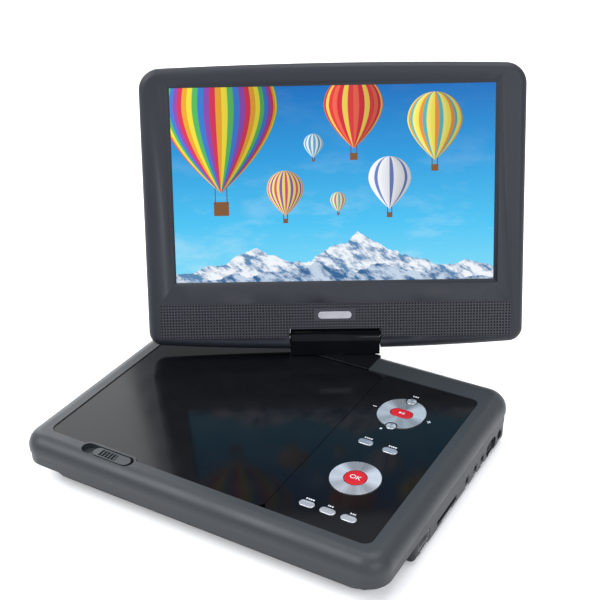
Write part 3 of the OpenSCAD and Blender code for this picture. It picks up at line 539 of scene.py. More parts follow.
# Balloons: middle across and up, radius, stripes on the near half, stripe colours
BALLOONS = (
    (0.150, 0.90, 0.300, 5.0, ((0.75, 0.04, 0.10), (0.90, 0.42, 0.03), (0.93, 0.80, 0.05), (0.10, 0.52, 0.14),
                               (0.05, 0.22, 0.70), (0.30, 0.08, 0.48))),
    (0.565, 0.90, 0.150, 4.0, ((0.80, 0.05, 0.06), (0.88, 0.14, 0.08), (0.70, 0.03, 0.05),
                               (0.90, 0.66, 0.10))),
    (0.815, 0.82, 0.140, 5.0, ((0.93, 0.80, 0.10), (0.90, 0.30, 0.05), (0.10, 0.50, 0.55),
                               (0.93, 0.85, 0.20))),
    (0.675, 0.53, 0.110, 4.0, ((0.86, 0.88, 0.93), (0.14, 0.22, 0.55), (0.92, 0.93, 0.96),
                               (0.88, 0.90, 0.95))),
    (0.350, 0.48, 0.095, 5.0, ((0.92, 0.82, 0.16), (0.75, 0.10, 0.20), (0.95, 0.86, 0.22),
                               (0.30, 0.12, 0.50))),
    (0.440, 0.71, 0.050, 3.0, ((0.85, 0.90, 0.95), (0.12, 0.45, 0.70), (0.90, 0.93, 0.97),
                               (0.10, 0.38, 0.60))),
    (0.515, 0.42, 0.042, 3.0, ((0.90, 0.86, 0.50), (0.15, 0.50, 0.60), (0.93, 0.90, 0.55),
                               (0.70, 0.20, 0.20))),
)
PICTURE_RATIO = 1.65

# Lamps: place, aim, size and power
LIGHTS = (
    ("key_light", (-0.9, -0.9, 1.5), (0, 0, 0.08), (1.2, 1.2), 30.0),
    ("fill_light", (1.3, -0.8, 0.9), (0, 0, 0.08), (1.0, 1.0), 12.0),
    ("top_light", (0.1, 0.5, 1.8), (0, 0, 0.0), (1.4, 0.9), 17.0),
    ("left_glow", (-1.1, 0.6, 0.6), (0, 0, 0.05), (0.7, 0.9), 7.0),
)


def middle_of(node):
    low, high = box_mm(node)
    return ((low.x + high.x) / 2, (low.y + high.y) / 2)


def latch_pill(name, grow, low, high):
    return pill(name, LATCH_PLACE, RECESS_LONG + 2 * grow, RECESS_WIDE + 2 * grow, low, high)


class Player:
    """What the operators share: the finishes, made once."""
    finish = {}


def settings():
    scene = bpy.context.scene
    return scene.player_sizes, scene.player_colours, scene.player_stage


class Step:
    """What every build step has in common."""
    bl_options = {"REGISTER"}

    def execute(self, context):
        self.build()
        return {"FINISHED"}


class PLAYER_OT_finishes(Step, bpy.types.Operator):
    """Mixes the finishes and gives them to the frame's own parts"""
    bl_idname = "player.finishes"
    bl_label = "Finishes"

    def build(self):
        _, c, _ = settings()
        f = Player.finish
        f["rim"] = satin_metal("slate rim paint", c.rim)
        f["lower_shell"] = moulded("lower shell plastic", c.shell, 0.42, patch=0.08, specular=0.35)
        f["gloss_black"] = polished("gloss black", c.gloss, 0.085, 0.0, 0.12)
        f["bezel"] = moulded("screen housing plastic", c.bezel, 0.46, 3000.0, patch=0.05, specular=0.3)
        f["screen_back"] = moulded("screen back plastic", shade(c.bezel, 1.05), 0.42, 2400.0, patch=0.05,
                                   specular=0.3)
        f["grille"] = moulded("grille plastic", c.grille, 0.5, 3200.0, patch=0.06, specular=0.3)
        f["silver_key"] = brushed_metal("key metal", c.key, 0.34, (60.0, 2200.0, 2200.0))
        f["red_key"] = polished("red key", c.accent, 0.30, 0.0, 0.22)
        f["inner_black"] = moulded("black moulding", (0.012, 0.012, 0.014), 0.5)
        f["steel"] = brushed_metal("brushed steel", (0.55, 0.56, 0.58))
        f["shaft_steel"] = brushed_metal("polished steel", (0.72, 0.73, 0.75), 0.16)
        f["rubber"] = moulded("rubber", (0.012, 0.012, 0.013), 0.8, 900.0, 0.08)
        f["board"] = moulded("green board", (0.018, 0.09, 0.045), 0.35)
        f["battery"] = moulded("battery wrap", (0.05, 0.14, 0.28), 0.3)
        f["gear"] = moulded("natural acetal", (0.74, 0.71, 0.62), 0.4)
        f["sensor"] = polished("sensor window", (0.27, 0.27, 0.30), 0.22, 0.3)
        f["lens"] = polished("lens glass", (0.16, 0.2, 0.36), 0.05, 1.0)
        f["lcd"] = polished("display edge", (0.01, 0.012, 0.015), 0.2)
        f["mark"] = moulded("pale print", c.mark, 0.6, 4000.0, 0.01)
        # near-black hole floors: painted shade that stands in for the depth behind the grille's holes
        f["hole"] = moulded("hole dark", (0.004, 0.004, 0.005), 0.7)
        f["contact"] = brushed_metal("contact metal", (0.66, 0.58, 0.42), 0.3)
        for part in frame["record"]["subparts"]:
            node = frame["nodes"][part["node"]]
            node.data.materials.clear()
            node.data.materials.append(f[part["material_slot"]])


class PLAYER_OT_rim(Step, bpy.types.Operator):
    """Rolled rim of the base, with the opening for the gloss panels and the latch's recess"""
    bl_idname = "player.rim"
    bl_label = "Rim"

    def build(self):
        rim = plate("rim_cover", rim_low.to_tuple()[:2] + (20.0,), rim_high, CORNER, 16)
        with editing(rim):
            pick(rim, level(rim_high.z))
            bpy.ops.mesh.bevel(offset=RIM_ROLL * MM, segments=12, affect="EDGES")
        opening = plate("opening", (lid_low.x - PANEL_GAP, lid_low.y - PANEL_GAP, 18),
                        (control_high.x + PANEL_GAP, 68.3, 34), 5.3)
        cut(opening, latch_pill("lip", 1.4, 17, 35))
        cut(rim, opening, latch_pill("recess", 0, rim_high.z - 3.4, 34),
            block("latch well", (LATCH_X - 8, LATCH_Y - 1.7, 20.2), (LATCH_X + 8, LATCH_Y + 1.7, 34)),
            block("tongue way", (LATCH_X - 10, LATCH_Y - 1.8, 25.2), (LATCH_X + 10, -60, 26.6)),
            block("hinge bay", (-29.6, 66, 25.6), (29.6, 86.9, 34)),
            drum("tube hole", (0, AXIS.y), 5.6, 18, 34))
        soften(rim, 0.3, 3, 35)
        dress(rim, "base", Player.finish["rim"], ["base_top_cover"])
        deck = plate("deck_plate", (lid_low.x, lid_low.y, 23.2), (control_high.x, 67, 25.2), 4, 6)
        hub = middle_of("spindle_hub")
        cut(deck, drum("well hole", hub, WELL_RADIUS, 20, 30, 96),
            block("key window", (52.7, -68, 20), (91.5, 56, 30)),
            block("tongue way", (LATCH_X - 10, -90, 20), (LATCH_X + 10, -71, 30)))
        soften(deck, 0.2, 2)
        dress(deck, "base", Player.finish["inner_black"])


class PLAYER_OT_lower_shell(Step, bpy.types.Operator):
    """Lower shell with its upright band, tapered tub and port wall"""
    bl_idname = "player.lower_shell"
    bl_label = "Lower shell"

    def build(self):
        s, _, _ = settings()
        edge = s.shell_edge / MM
        x, y = shell_high.x, 88.9
        shell = plate("lower_shell", (-x, -y, 13.6), (x, y, 19.9), 13.4, 14)
        tub = plate("tub", (-x + 3.4, -y + 3.4, 2), (x - 3.4, y - 3.4, 14.4), CORNER, 12)
        with editing(tub, "FACE"):
            pick(tub, lambda face: face.normal.z < -0.9, "faces")
            bpy.ops.transform.resize(value=(107 / (x - 3.4), 79.5 / (y - 3.4), 1))
        wall = block("wall", (x - 30, -48.5, 2.6), (x, 79.1, 15))
        with editing(wall):
            pick(wall, lambda e: all(v.co.z < 4 * MM for v in e.verts) and all(v.co.x > 0.1 for v in e.verts))
            pick(wall, lambda e: upright(e) and all(v.co.x > 0.1 for v in e.verts))
            bpy.ops.mesh.bevel(offset=3.2 * MM, segments=6, affect="EDGES")
        weld(shell, tub, wall)
        inner = plate("inner", (-x + 5.4, -y + 5.4, 4), (x - 5.4, y - 5.4, 15.4), CORNER - 2, 8)
        with editing(inner, "FACE"):
            pick(inner, lambda face: face.normal.z < -0.9, "faces")
            bpy.ops.transform.resize(value=(106 / (x - 5.4), 78.5 / (y - 5.4), 1))
        cut(shell, inner, plate("band inner", (-x + 2, -y + 2, 15.2), (x - 2, y - 2, 25), CORNER - 2.6, 8),
            block("port opening", (x - 28, -46, 4.4), (x + 1, 76.6, 18.2)))
        for sx in (-1, 1):
            for sy in (-1, 1):
                cut(shell, drum("foot seat", (99 * sx, 71.5 * sy), 5.1, -1, 2.6, 32))
        door_low, door_high = box_mm("battery_door")
        cut(shell, block("door opening", (door_low.x - 0.3, door_low.y - 0.3, -1),
                         (door_high.x + 0.3, door_high.y + 0.3, 8)))
        soften(shell, edge, 3, 35)
        dress(shell, "base", Player.finish["lower_shell"], ["base_bottom_cover"])

        feet = []
        for sx in (-1, 1):
            for sy in (-1, 1):
                foot = drum("foot", (99 * sx, 71.5 * sy), 5, 0, 2.6, 32)
                with editing(foot, "FACE"):
                    pick(foot, lambda face: face.normal.z < -0.9, "faces")
                    bpy.ops.mesh.inset(thickness=1.2 * MM)
                    bpy.ops.mesh.inset(thickness=0.5 * MM, depth=-0.3 * MM)
                feet.append(soften(foot, 0.4, 3))
        dress(gather("feet", feet), "base", Player.finish["rubber"], ["rubber_feet"])


class PLAYER_OT_ports(Step, bpy.types.Operator):
    """Port panel with its openings, the power switch and the sockets' rings"""
    bl_idname = "player.ports"
    bl_label = "Ports"

    def build(self):
        x = port_high.x
        panel = block("port_plate", port_low, port_high)
        with editing(panel):
            pick(panel, lambda e: abs(e.verts[0].co.y - e.verts[1].co.y) < 1e-6
                 and abs(e.verts[0].co.z - e.verts[1].co.z) < 1e-6 and all(v.co.z < 9 * MM for v in e.verts))
            bpy.ops.mesh.bevel(offset=2.2 * MM, segments=6, affect="EDGES")
        for y in JACKS:
            cut(panel, drum("jack hole", (y, PORT_Z), JACK_HOLE, x - 5, x + 3, 40, "X"))
        cut(panel, drum("inlet hole", (INLET_Y, PORT_Z), INLET_HOLE, x - 5, x + 3, 40, "X"),
            block("usb hole", (x - 5, USB_Y - 7.2, PORT_Z - 2.7), (x + 3, USB_Y + 7.2, PORT_Z + 3.9)),
            block("card hole", (x - 5, CARD_Y - 12.9, PORT_Z - 2.4), (x + 3, CARD_Y + 12.9, PORT_Z + 0.4)),
            pill("switch slot", (SWITCH_Y, PORT_Z), 12, 4.8, x - 5, x + 3, "Y", "X"),
            pill("switch dish", (SWITCH_Y, PORT_Z), 15, 8.6, x - 1, x + 3, "Y", "X"))
        soften(panel, 0.3, 3)
        dress(panel, "base", Player.finish["lower_shell"], ["port_panel"])

        knob = pill("switch_knob", (SWITCH_Y - 1.5, PORT_Z), 8, 4.2, x - 4, x - 0.8, "Y", "X")
        soften(knob, 0.4, 3)
        ribs = [soften(block("rib", (x - 1.2, SWITCH_Y - 1.5 + d - 0.35, PORT_Z - 1.5),
                             (x - 0.35, SWITCH_Y - 1.5 + d + 0.35, PORT_Z + 1.5)), 0.2, 2) for d in (-1.8,
                                                                                                     0, 1.8)]
        dress(gather("switch_knob", [knob, *ribs]), "power_switch", Player.finish["inner_black"],
              ["power_switch"])

        rings = []
        for y in JACKS:
            ring = drum("jack_ring", (y, PORT_Z), JACK_RIM, x - 1.2, x + 0.05, 40, "X")
            cut(ring, drum("jack bore", (y, PORT_Z), JACK_BORE, x - 3, x + 3, 32, "X"))
            rings.append(soften(ring, 0.25, 3))
        dress(gather("jack_rings", rings), "base", Player.finish["inner_black"])
        inlet = drum("inlet_ring", (INLET_Y, PORT_Z), INLET_RIM, x - 1.4, x, 40, "X")
        cut(inlet, drum("inlet bore", (INLET_Y, PORT_Z), INLET_BORE, x - 3, x + 3, 32, "X"))
        dress(soften(inlet, 0.25, 3), "base", Player.finish["inner_black"])


class PLAYER_OT_panels(Step, bpy.types.Operator):
    """Gloss disc lid with its hinge arms, and the gloss control panel with its key holes"""
    bl_idname = "player.panels"
    bl_label = "Gloss panels"

    def build(self):
        s, _, _ = settings()
        edge = s.edge / MM
        lid = plate("lid", (lid_low.x, lid_low.y, PANEL_UNDER), (lid_high.x, 67.1, PANEL_TOP), 5.2, 8)
        cut(lid, latch_pill("lip", 1.7, 20, 40))
        arms = []
        for x in ARM_XS:
            cut(lid, block("relief", (x - 8, 65.6, PANEL_UNDER - 1), (x + 8, 68, PANEL_UNDER + 0.2)))
            arms.append(drum("arm", HINGE_LINE, ARM_RADIUS, x - 4, x + 4, 28, "X"))
            arms.append(block("arm root", (x - 4, 62.8, 23.7), (x + 4, 65.8, PANEL_UNDER + 0.2)))
        arms.append(block("catch", (LATCH_X - 4, -72.4, 25.6), (LATCH_X + 4, -70.8, PANEL_UNDER + 0.2)))
        weld(lid, *arms)
        soften(lid, edge, 3)
        dress(lid, "disc_lid", Player.finish["gloss_black"], ["disc_lid"])

        panel = plate("key_panel", (control_low.x, control_low.y, PANEL_UNDER),
                      (control_high.x, control_high.y, PANEL_TOP), 4.7, 8)
        low, high = box_mm("volume_pad")
        vx, vy = middle_of("volume_pad")
        cut(panel, pill("hole", (vx, vy), high.y - low.y + 0.7, high.x - low.x + 0.7, 20, 40, "Y"))
        for key, grow in (("mute_button", 0.5), ("stop_button", 0.5), ("direction_ring", 0.7)):
            low, high = box_mm(key)
            cut(panel, drum("hole", middle_of(key), (high.x - low.x + grow) / 2, 20, 40, 48))
        for key in PILL_KEYS:
            cut(panel, pill("hole", middle_of(key), PILL_LONG + 0.5, PILL_WIDE + 0.5, 20, 40))
        soften(panel, edge, 3)
        dress(panel, "base", Player.finish["gloss_black"], ["control_panel"])


class PLAYER_OT_keys(Step, bpy.types.Operator):
    """Volume pad, play key, round keys, direction ring, confirm key and pill keys"""
    bl_idname = "player.keys"
    bl_label = "Keys"

    def build(self):
        _, c, _ = settings()
        f = Player.finish
        vx, vy = middle_of("volume_pad")
        low, high = box_mm("volume_pad")
        plow, phigh = box_mm("play_button")
        top = high.z
        pad = pill("pad_face", (vx, vy), high.y - low.y, high.x - low.x, 27.3, top, "Y", "Z", 94)
        cut(pad, pill("play hole", (vx, vy), phigh.x - plow.x + 0.7, phigh.y - plow.y + 0.7, 20, 40))
        for key in ("mute_button", "stop_button"):
            cut(pad, drum("notch", middle_of(key), 3.7, 20, 40, 48))
        posts = [drum("post", (vx + d, vy), POST_RADIUS, 23.6, 27.5, 20) for d in (-9, 9)]
        soften(weld(pad, *posts), 0.45, 4)
        dress(pad, "volume_pad", spun_metal("volume pad metal", c.key, (vx, vy)),
              ["volume_pad"])

        play = pill("play_face", (vx, vy), phigh.x - plow.x, phigh.y - plow.y, 27.3, phigh.z)
        weld(play, drum("post", (vx, vy), POST_RADIUS, plow.z, 27.5, 20))
        soften(play, 0.55, 4)
        dress(play, "play_button", f["red_key"], ["play_button"])

        for key in ("mute_button", "stop_button"):
            klow, khigh = box_mm(key)
            cap = drum(key.replace("button", "cap"), middle_of(key), (khigh.x - klow.x) / 2, 27, khigh.z, 48)
            weld(cap, drum("post", middle_of(key), POST_RADIUS, klow.z, 27.2, 20))
            soften(cap, 0.5, 4)
            dress(cap, key, spun_metal(key.replace("_", " ") + " metal", c.key, middle_of(key)),
                  [key])

        ring_low, ring_high = box_mm("direction_ring")
        centre = middle_of("direction_ring")
        ring = drum("direction_face", centre, (ring_high.x - ring_low.x) / 2, 27, ring_high.z, 96)
        cut(ring, drum("ok hole", centre, 6.6, 20, 40, 64))
        stems = [drum("stem", (centre[0] + 10.5 * math.cos(a), centre[1] + 10.5 * math.sin(a)), 1.3,
                      ring_low.z,
                      27.2, 20) for a in (0, math.pi / 2, math.pi, 3 * math.pi / 2)]
        soften(weld(ring, *stems), 0.5, 4)
        dress(ring, "direction_ring", spun_metal("direction ring metal", c.key, centre),
              ["direction_ring"])
        ok_low, ok_high = box_mm("ok_button")
        cap = drum("ok_face", centre, (ok_high.x - ok_low.x) / 2, 27, ok_high.z, 64)
        weld(cap, drum("post", centre, POST_RADIUS, ok_low.z, 27.2, 20))
        soften(cap, 0.55, 4)
        dress(cap, "ok_button", f["red_key"], ["ok_button"])

        for key in PILL_KEYS:
            klow, khigh = box_mm(key)
            cap = pill(key.replace("button", "cap"), middle_of(key), PILL_LONG, PILL_WIDE, 27.5, khigh.z)
            weld(cap, pill("flange", middle_of(key), 10.6, 6.4, 26.6, 27.52),
                 drum("post", middle_of(key), POST_RADIUS,
                                                                                 klow.z, 26.8, 20))
            soften(cap, 0.5, 4)
            dress(cap, key, f["silver_key"], [key])


class PLAYER_OT_latch(Step, bpy.types.Operator):
    """Ribbed slide of the lid latch"""
    bl_idname = "player.latch"
    bl_label = "Latch"

    def build(self):
        x = LATCH_X + 3
        top = latch_high.z
        knob = pill("latch_slide", (x, LATCH_Y), SLIDE_LONG, SLIDE_WIDE, top - 3.3, top - 0.45, sides=62)
        stem = block("stem", (LATCH_X - 1, LATCH_Y - 1.4, 25.5), (LATCH_X + 6, LATCH_Y + 1.4, top - 3))
        tongue = block("tongue", (LATCH_X - 1, LATCH_Y - 1.4, 25.5), (LATCH_X + 6, -72.8, 26.3))
        grooves = [block("groove", (x - 7.2 + 2.1 * i, LATCH_Y - 2.6, top - 1.1),
                         (x - 6.3 + 2.1 * i, LATCH_Y + 2.6, top)) for i in range(5)]
        weld(knob, stem, tongue)
        cut(knob, *grooves)
        soften(knob, 0.35, 3)
        ribs = [soften(block("rib", (x - 8.2 + 2.1 * i, LATCH_Y - 2.4, top - 0.7),
                             (x - 7.4 + 2.1 * i, LATCH_Y + 2.4, top - 0.05)), 0.25, 2) for i in range(6)]
        dress(gather("latch_slide", [knob, *ribs]), "lid_latch", Player.finish["rim"], ["lid_latch"])


class PLAYER_OT_hinge(Step, bpy.types.Operator):
    """Gloss hinge block in two caps, and the platform it turns on"""
    bl_idname = "player.hinge"
    bl_label = "Hinge block"

    def build(self):
        f = Player.finish
        low, high = box_mm("hinge_platform")
        platform = plate("hinge_bay", low, high, 1.2, 4)
        cut(platform, drum("tube hole", (0, AXIS.y), 5.5, 0, 60, 48))
        soften(platform, 0.35, 3)
        dress(platform, "base", f["gloss_black"], ["hinge_platform"])
        half, radius, bottom = 28.3, 6.6, -9.3
        for name, near in (("hinge_cap_front", True), ("hinge_cap_rear", False)):
            cap = drum(name + "_shell", (0, 0), radius, -half, half, 72, "X")
            weld(cap, block("skirt", (-half, -radius, bottom), (half, radius, 0)))
            cut(cap, block("split", (-half - 5, 0.02 if near else -20, -20),
                           (half + 5, 20 if near else -0.02, 20)),
                drum("shaft way", (0, 0), 2.55, -half - 5, half + 5, 32, "X"),
                drum("tube way", (0, 0), 5.05, bottom - 2, bottom + 2, 40))
            soften(cap, 0.4, 4, 40)
            dress(cap, "hinge", f["gloss_black"], [name], BLOCK_PLACE)


def housing(name):
    """The whole screen housing, upright: rounded corners, crowned ends and rounded long edges."""
    half, low, high = 118.0, SCREEN_LOW + 3.4, SCREEN_HIGH - 1.6
    body = block(name, (-half, FRONT, low), (half, BACK, high))
    across = lambda e: abs(e.verts[0].co.y - e.verts[1].co.y) > 1 * MM
    for top, radius in ((False, 9.0), (True, 13.0)):
        with editing(body):
            pick(body, lambda e, t=top: across(e) and (e.verts[0].co.z > 80 * MM) == t
                 and abs(e.verts[0].co.x) > (half - 1) * MM)
            bpy.ops.mesh.bevel(offset=radius * MM, segments=12, affect="EDGES")
    with editing(body):
        pick(body, lambda e: abs(e.verts[0].co.x - e.verts[1].co.x) > 100 * MM)
        bpy.ops.mesh.subdivide(number_cuts=23)
    crowns = ((low, -3.4, half - 9.0), (high, 1.6, half - 13.0))
    for vertex in body.data.vertices:
        for height, crown, reach in crowns:
            if abs(vertex.co.z - height * MM) < 1e-6:
                vertex.co.z += crown * MM * (1 - min(1.0, abs(vertex.co.x) / (reach * MM)) ** 2)
    with editing(body):
        pick(body, lambda e: not across(e) and len(e.link_faces) == 2 and e.calc_face_angle(0) > 1.2)
        bpy.ops.mesh.bevel(offset=5 * MM, segments=8, affect="EDGES")
    return body


class PLAYER_OT_screen(Step, bpy.types.Operator):
    """Screen housing: front bezel with its chamfered window, and back cover with its vents"""
    bl_idname = "player.screen"
    bl_label = "Screen housing"

    def build(self):
        f = Player.finish
        half, low, high = PICTURE
        notch = lambda: block("notch", (-NOTCH_X, -30, -30), (NOTCH_X, 30, NOTCH_Z))
        bezel = housing("bezel_shell")
        window = block("window", (-half - 2.4, FRONT - 0.01, low - 2.4),
                       (half + 2.4, FRONT + 1.5, high + 2.4))
        with editing(window, "FACE"):
            pick(window, lambda face: face.normal.y > 0.9, "faces")
            bpy.ops.transform.resize(value=(half / (half + 2.4), 1, (high - low) / (high - low + 4.8)))
        cut(bezel, block("rear half", (-200, SPLIT, -50), (200, 50, 300)), notch(), window,
            block("through", (-half, -20, low), (half, 20, high)),
            block("display pocket", (-104, FRONT + 1.8, 32), (104, 20, 163)),
            block("grille bed", (-GRILLE[0] - 0.08, -20, GRILLE[1] - 0.08), (GRILLE[0] + 0.08, FRONT + 1.05,
                                                                              GRILLE[2] + 0.08)))
        soften(bezel, 0.3, 3, 40)
        dress(bezel, "screen", f["bezel"], ["screen_bezel"], SCREEN_PLACE)

        back = housing("back_shell")
        inner = plate("inner", (-115, SPLIT - 1, -2.4), (115, BACK - 1.8, 167), 6, 4)
        cut(inner, block("lining", (-NOTCH_X - 1.8, -30, -30), (NOTCH_X + 1.8, 30, NOTCH_Z + 1.8)))
        cut(back, block("front half", (-200, -50, -50), (200, SPLIT + 0.1, 300)), inner, notch(),
            drum("shaft way", (0, 0), 2.9, -34, 34, 32, "X"))
        for i in range(-2, 3):
            cut(back, block("vent", (9 * i - 2.6, BACK - 5, 120), (9 * i + 2.6, BACK + 2, 121.6)))
        soften(back, 0.3, 3, 40)
        dress(back, "screen", f["screen_back"], ["screen_rear_cover"], SCREEN_PLACE)


class PLAYER_OT_grille(Step, bpy.types.Operator):
    """Speaker grille with its rows of holes, and the receiver's window in it"""
    bl_idname = "player.grille"
    bl_label = "Speaker grille"

    def build(self):
        s, _, _ = settings()
        f = Player.finish
        half, low, high = GRILLE
        rows = 12
        pitch = (high - low) / rows
        columns = round(2 * half / pitch)
        bpy.ops.object.select_all(action="DESELECT")
        bpy.ops.mesh.primitive_grid_add(x_subdivisions=columns, y_subdivisions=rows, size=1,
                                        location=(0, FRONT * MM, (low + high) / 2 * MM),
                                        rotation=(math.pi / 2, 0, 0))
        bpy.context.object.scale = (2 * half * MM, (high - low) * MM, 1)
        sheet = settle("grille_face")
        inside = lambda face, x, z0, z1: abs(face.calc_center_median().x) < x * MM and \
            z0 * MM < face.calc_center_median().z < z1 * MM
        with editing(sheet, "FACE"):
            pick(sheet, lambda face: inside(face, NOTCH_X, 0, NOTCH_Z), "faces")
            bpy.ops.mesh.delete(type="FACE")
        with editing(sheet, "FACE"):
            bpy.ops.mesh.select_all(action="SELECT")
            bpy.ops.mesh.extrude_region_move(TRANSFORM_OT_translate={"value": (0, 1.0 * MM, 0)})
            bpy.ops.mesh.select_all(action="SELECT")
            bpy.ops.mesh.normals_make_consistent(inside=False)
        with editing(sheet, "FACE"):
            pick(sheet, lambda face: face.calc_center_median().y > (FRONT + 0.9) * MM, "faces")
            bpy.ops.mesh.dissolve_limited(angle_limit=0.05)
        sheet.data.materials.append(f["grille"])
        sheet.data.materials.append(f["hole"])
        margin = (pitch - s.hole / MM) / 2
        with editing(sheet, "FACE"):
            pick(sheet, lambda face: face.normal.y < -0.9 and not inside(face, 12.6, SENSOR_Z - 3.6,
                                                                         SENSOR_Z + 4.2),
                 "faces")
            bpy.ops.mesh.inset(thickness=margin * MM, use_individual=True)
            bpy.ops.mesh.extrude_region_shrink_fatten(TRANSFORM_OT_shrink_fatten={"value": -s.hole_depth})
            # the hole floors take the near-black painted shade
            sheet.active_material_index = 1
            bpy.ops.object.material_slot_assign()
        only(sheet)
        sheet.data.transform(SCREEN_PLACE)
        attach(sheet, "screen")
        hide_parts("speaker_grille")

        eye = pill("receiver_window", (0, SENSOR_Z), 21, 4.6, FRONT - 0.3, FRONT + 0.98, "X", "Y", 46)
        soften(eye, 0.3, 3)
        dress(eye, "screen", f["sensor"], ["sensor_window"], SCREEN_PLACE)


class PLAYER_OT_display(Step, bpy.types.Operator):
    """Display with its lit picture: sky, clouds, a snowy ridge and striped balloons"""
    bl_idname = "player.display"
    bl_label = "Display"

    def build(self):
        half, low, high = PICTURE
        glass = block("display_glass", (-half - 2, FRONT + 1.85, low - 2), (half + 2, FRONT + 4.2, high + 2))
        soften(glass, 0.3, 2)
        layer = glass.data.uv_layers.active or glass.data.uv_layers.new(name="picture")
        layer.name = "picture"
        for loop in glass.data.loops:
            point = glass.data.vertices[loop.vertex_index].co
            layer.data[loop.index].uv = (point.x / (2 * half * MM) + 0.5,
                                         (point.z - low * MM) / ((high - low) * MM))
        dress(glass, "screen", picture_paint(), ["lcd_panel"], SCREEN_PLACE)


def picture_paint():
    """The lit picture, mixed from gradients, noise and simple shapes."""
    paint = Paint("lit picture", base_color=(0.003, 0.003, 0.004), roughness=0.28, specular=0.06,
                  strength=1.0)
    u, v, _ = paint.split(paint.node("ShaderNodeUVMap", {"uv_map": "picture"}))
    across = u * PICTURE_RATIO
    sky = paint.node("ShaderNodeValToRGB", {"stops": (
        (0.0, (0.22, 0.72, 0.94)), (0.3, (0.075, 0.55, 0.90)), (0.65, (0.026, 0.33, 0.72)),
        (1.0, (0.008, 0.16, 0.52)))},
        {0: v})
    flat = paint.node("ShaderNodeCombineXYZ", None, {0: across * 1.2, 1: v * 3.4, 2: 0.3})
    cloud = paint.spread(paint.noise(2.3, 7.0, flat, 0.62), 0.5, 0.9, 0.0, 0.55) * \
        paint.spread(v, 0.05, 0.75, 1.0, 0.12)
    scene_colour = paint.mix(cloud, sky, (0.86, 0.92, 0.97))
    for scale, base, rise, lit, dark, seed in ((3.1, 0.02, 0.34, (0.88, 0.92, 0.97), (0.10, 0.24, 0.44), 4.0),
                                               (5.3, -0.02, 0.20, (0.55, 0.66, 0.80), (0.035, 0.13, 0.30),
                                                9.0)):
        line = paint.node("ShaderNodeTexNoise", {"noise_dimensions": "1D"},
                          {"W": across + seed, "Scale": scale, "Detail": 9.0, "Roughness": 0.52})
        hump = 1 - abs(u - 0.52) * 1.5
        crest = base + line * rise * hump.over("MAXIMUM", 0.15)
        below = v < crest
        face = paint.noise(9.0, 9.0, paint.node("ShaderNodeCombineXYZ", None,
                                                {0: across * 1.5 + v * 1.3, 1: v * 1.6, 2: seed}), 0.66)
        scene_colour = paint.mix(below, scene_colour,
                                 paint.mix(paint.spread(face, 0.42, 0.55, 0.0, 1.0), dark, lit))
    for cx, cy, radius, stripes, colours in BALLOONS:
        dx, dy = across - cx * PICTURE_RATIO, v - cy
        rise = dy.over("MAXIMUM", 0.0) / radius
        fall = (0 - dy).over("MAXIMUM", 0.0) / (radius * 1.45)
        width = ((1 - rise * rise).over("MAXIMUM", 0.0) ** 0.5) * (1 - fall ** 1.7).over("MAXIMUM",
                                                                                         0.0) * radius
        width = width.over("MAXIMUM", 0.0005)
        share = dx / width
        inside = (abs(share) < 1) * (width > 0.002)
        turn = share.over("MAXIMUM", -1.0).over("MINIMUM", 1.0).over("ARCSINE") * (stripes / math.pi)
        band = (turn + 40.25).over("FRACT")
        count = len(colours)
        stripe = paint.node("ShaderNodeValToRGB", {"steps": "CONSTANT", "stops": tuple(
            (i / count, shade_) for i, shade_ in enumerate(colours))}, {0: band})
        light = paint.spread(share, -1.0, 1.0, 1.12, 0.55)
        skin = paint.mix(1.0, stripe, paint.node("ShaderNodeCombineXYZ", None,
                                                 {0: light, 1: light, 2: light}),
                         "MULTIPLY")
        scene_colour = paint.mix(inside, scene_colour, skin)
        basket = (abs(dx) < radius * 0.13) * (abs(dy + radius * 1.72) < radius * 0.12)
        ropes = (abs(abs(dx) - radius * 0.10) < 0.0022) * (abs(dy + radius * 1.50) < radius * 0.14)
        scene_colour = paint.mix(basket, scene_colour, (0.22, 0.10, 0.035))
        scene_colour = paint.mix(ropes, scene_colour, (0.10, 0.08, 0.07))
    shown = (abs(u - 0.5) < 0.5) * (abs(v - 0.5) < 0.5)
    paint.set(emission=paint.mix(shown, (0.0, 0.0, 0.0), scene_colour))
    return paint.material


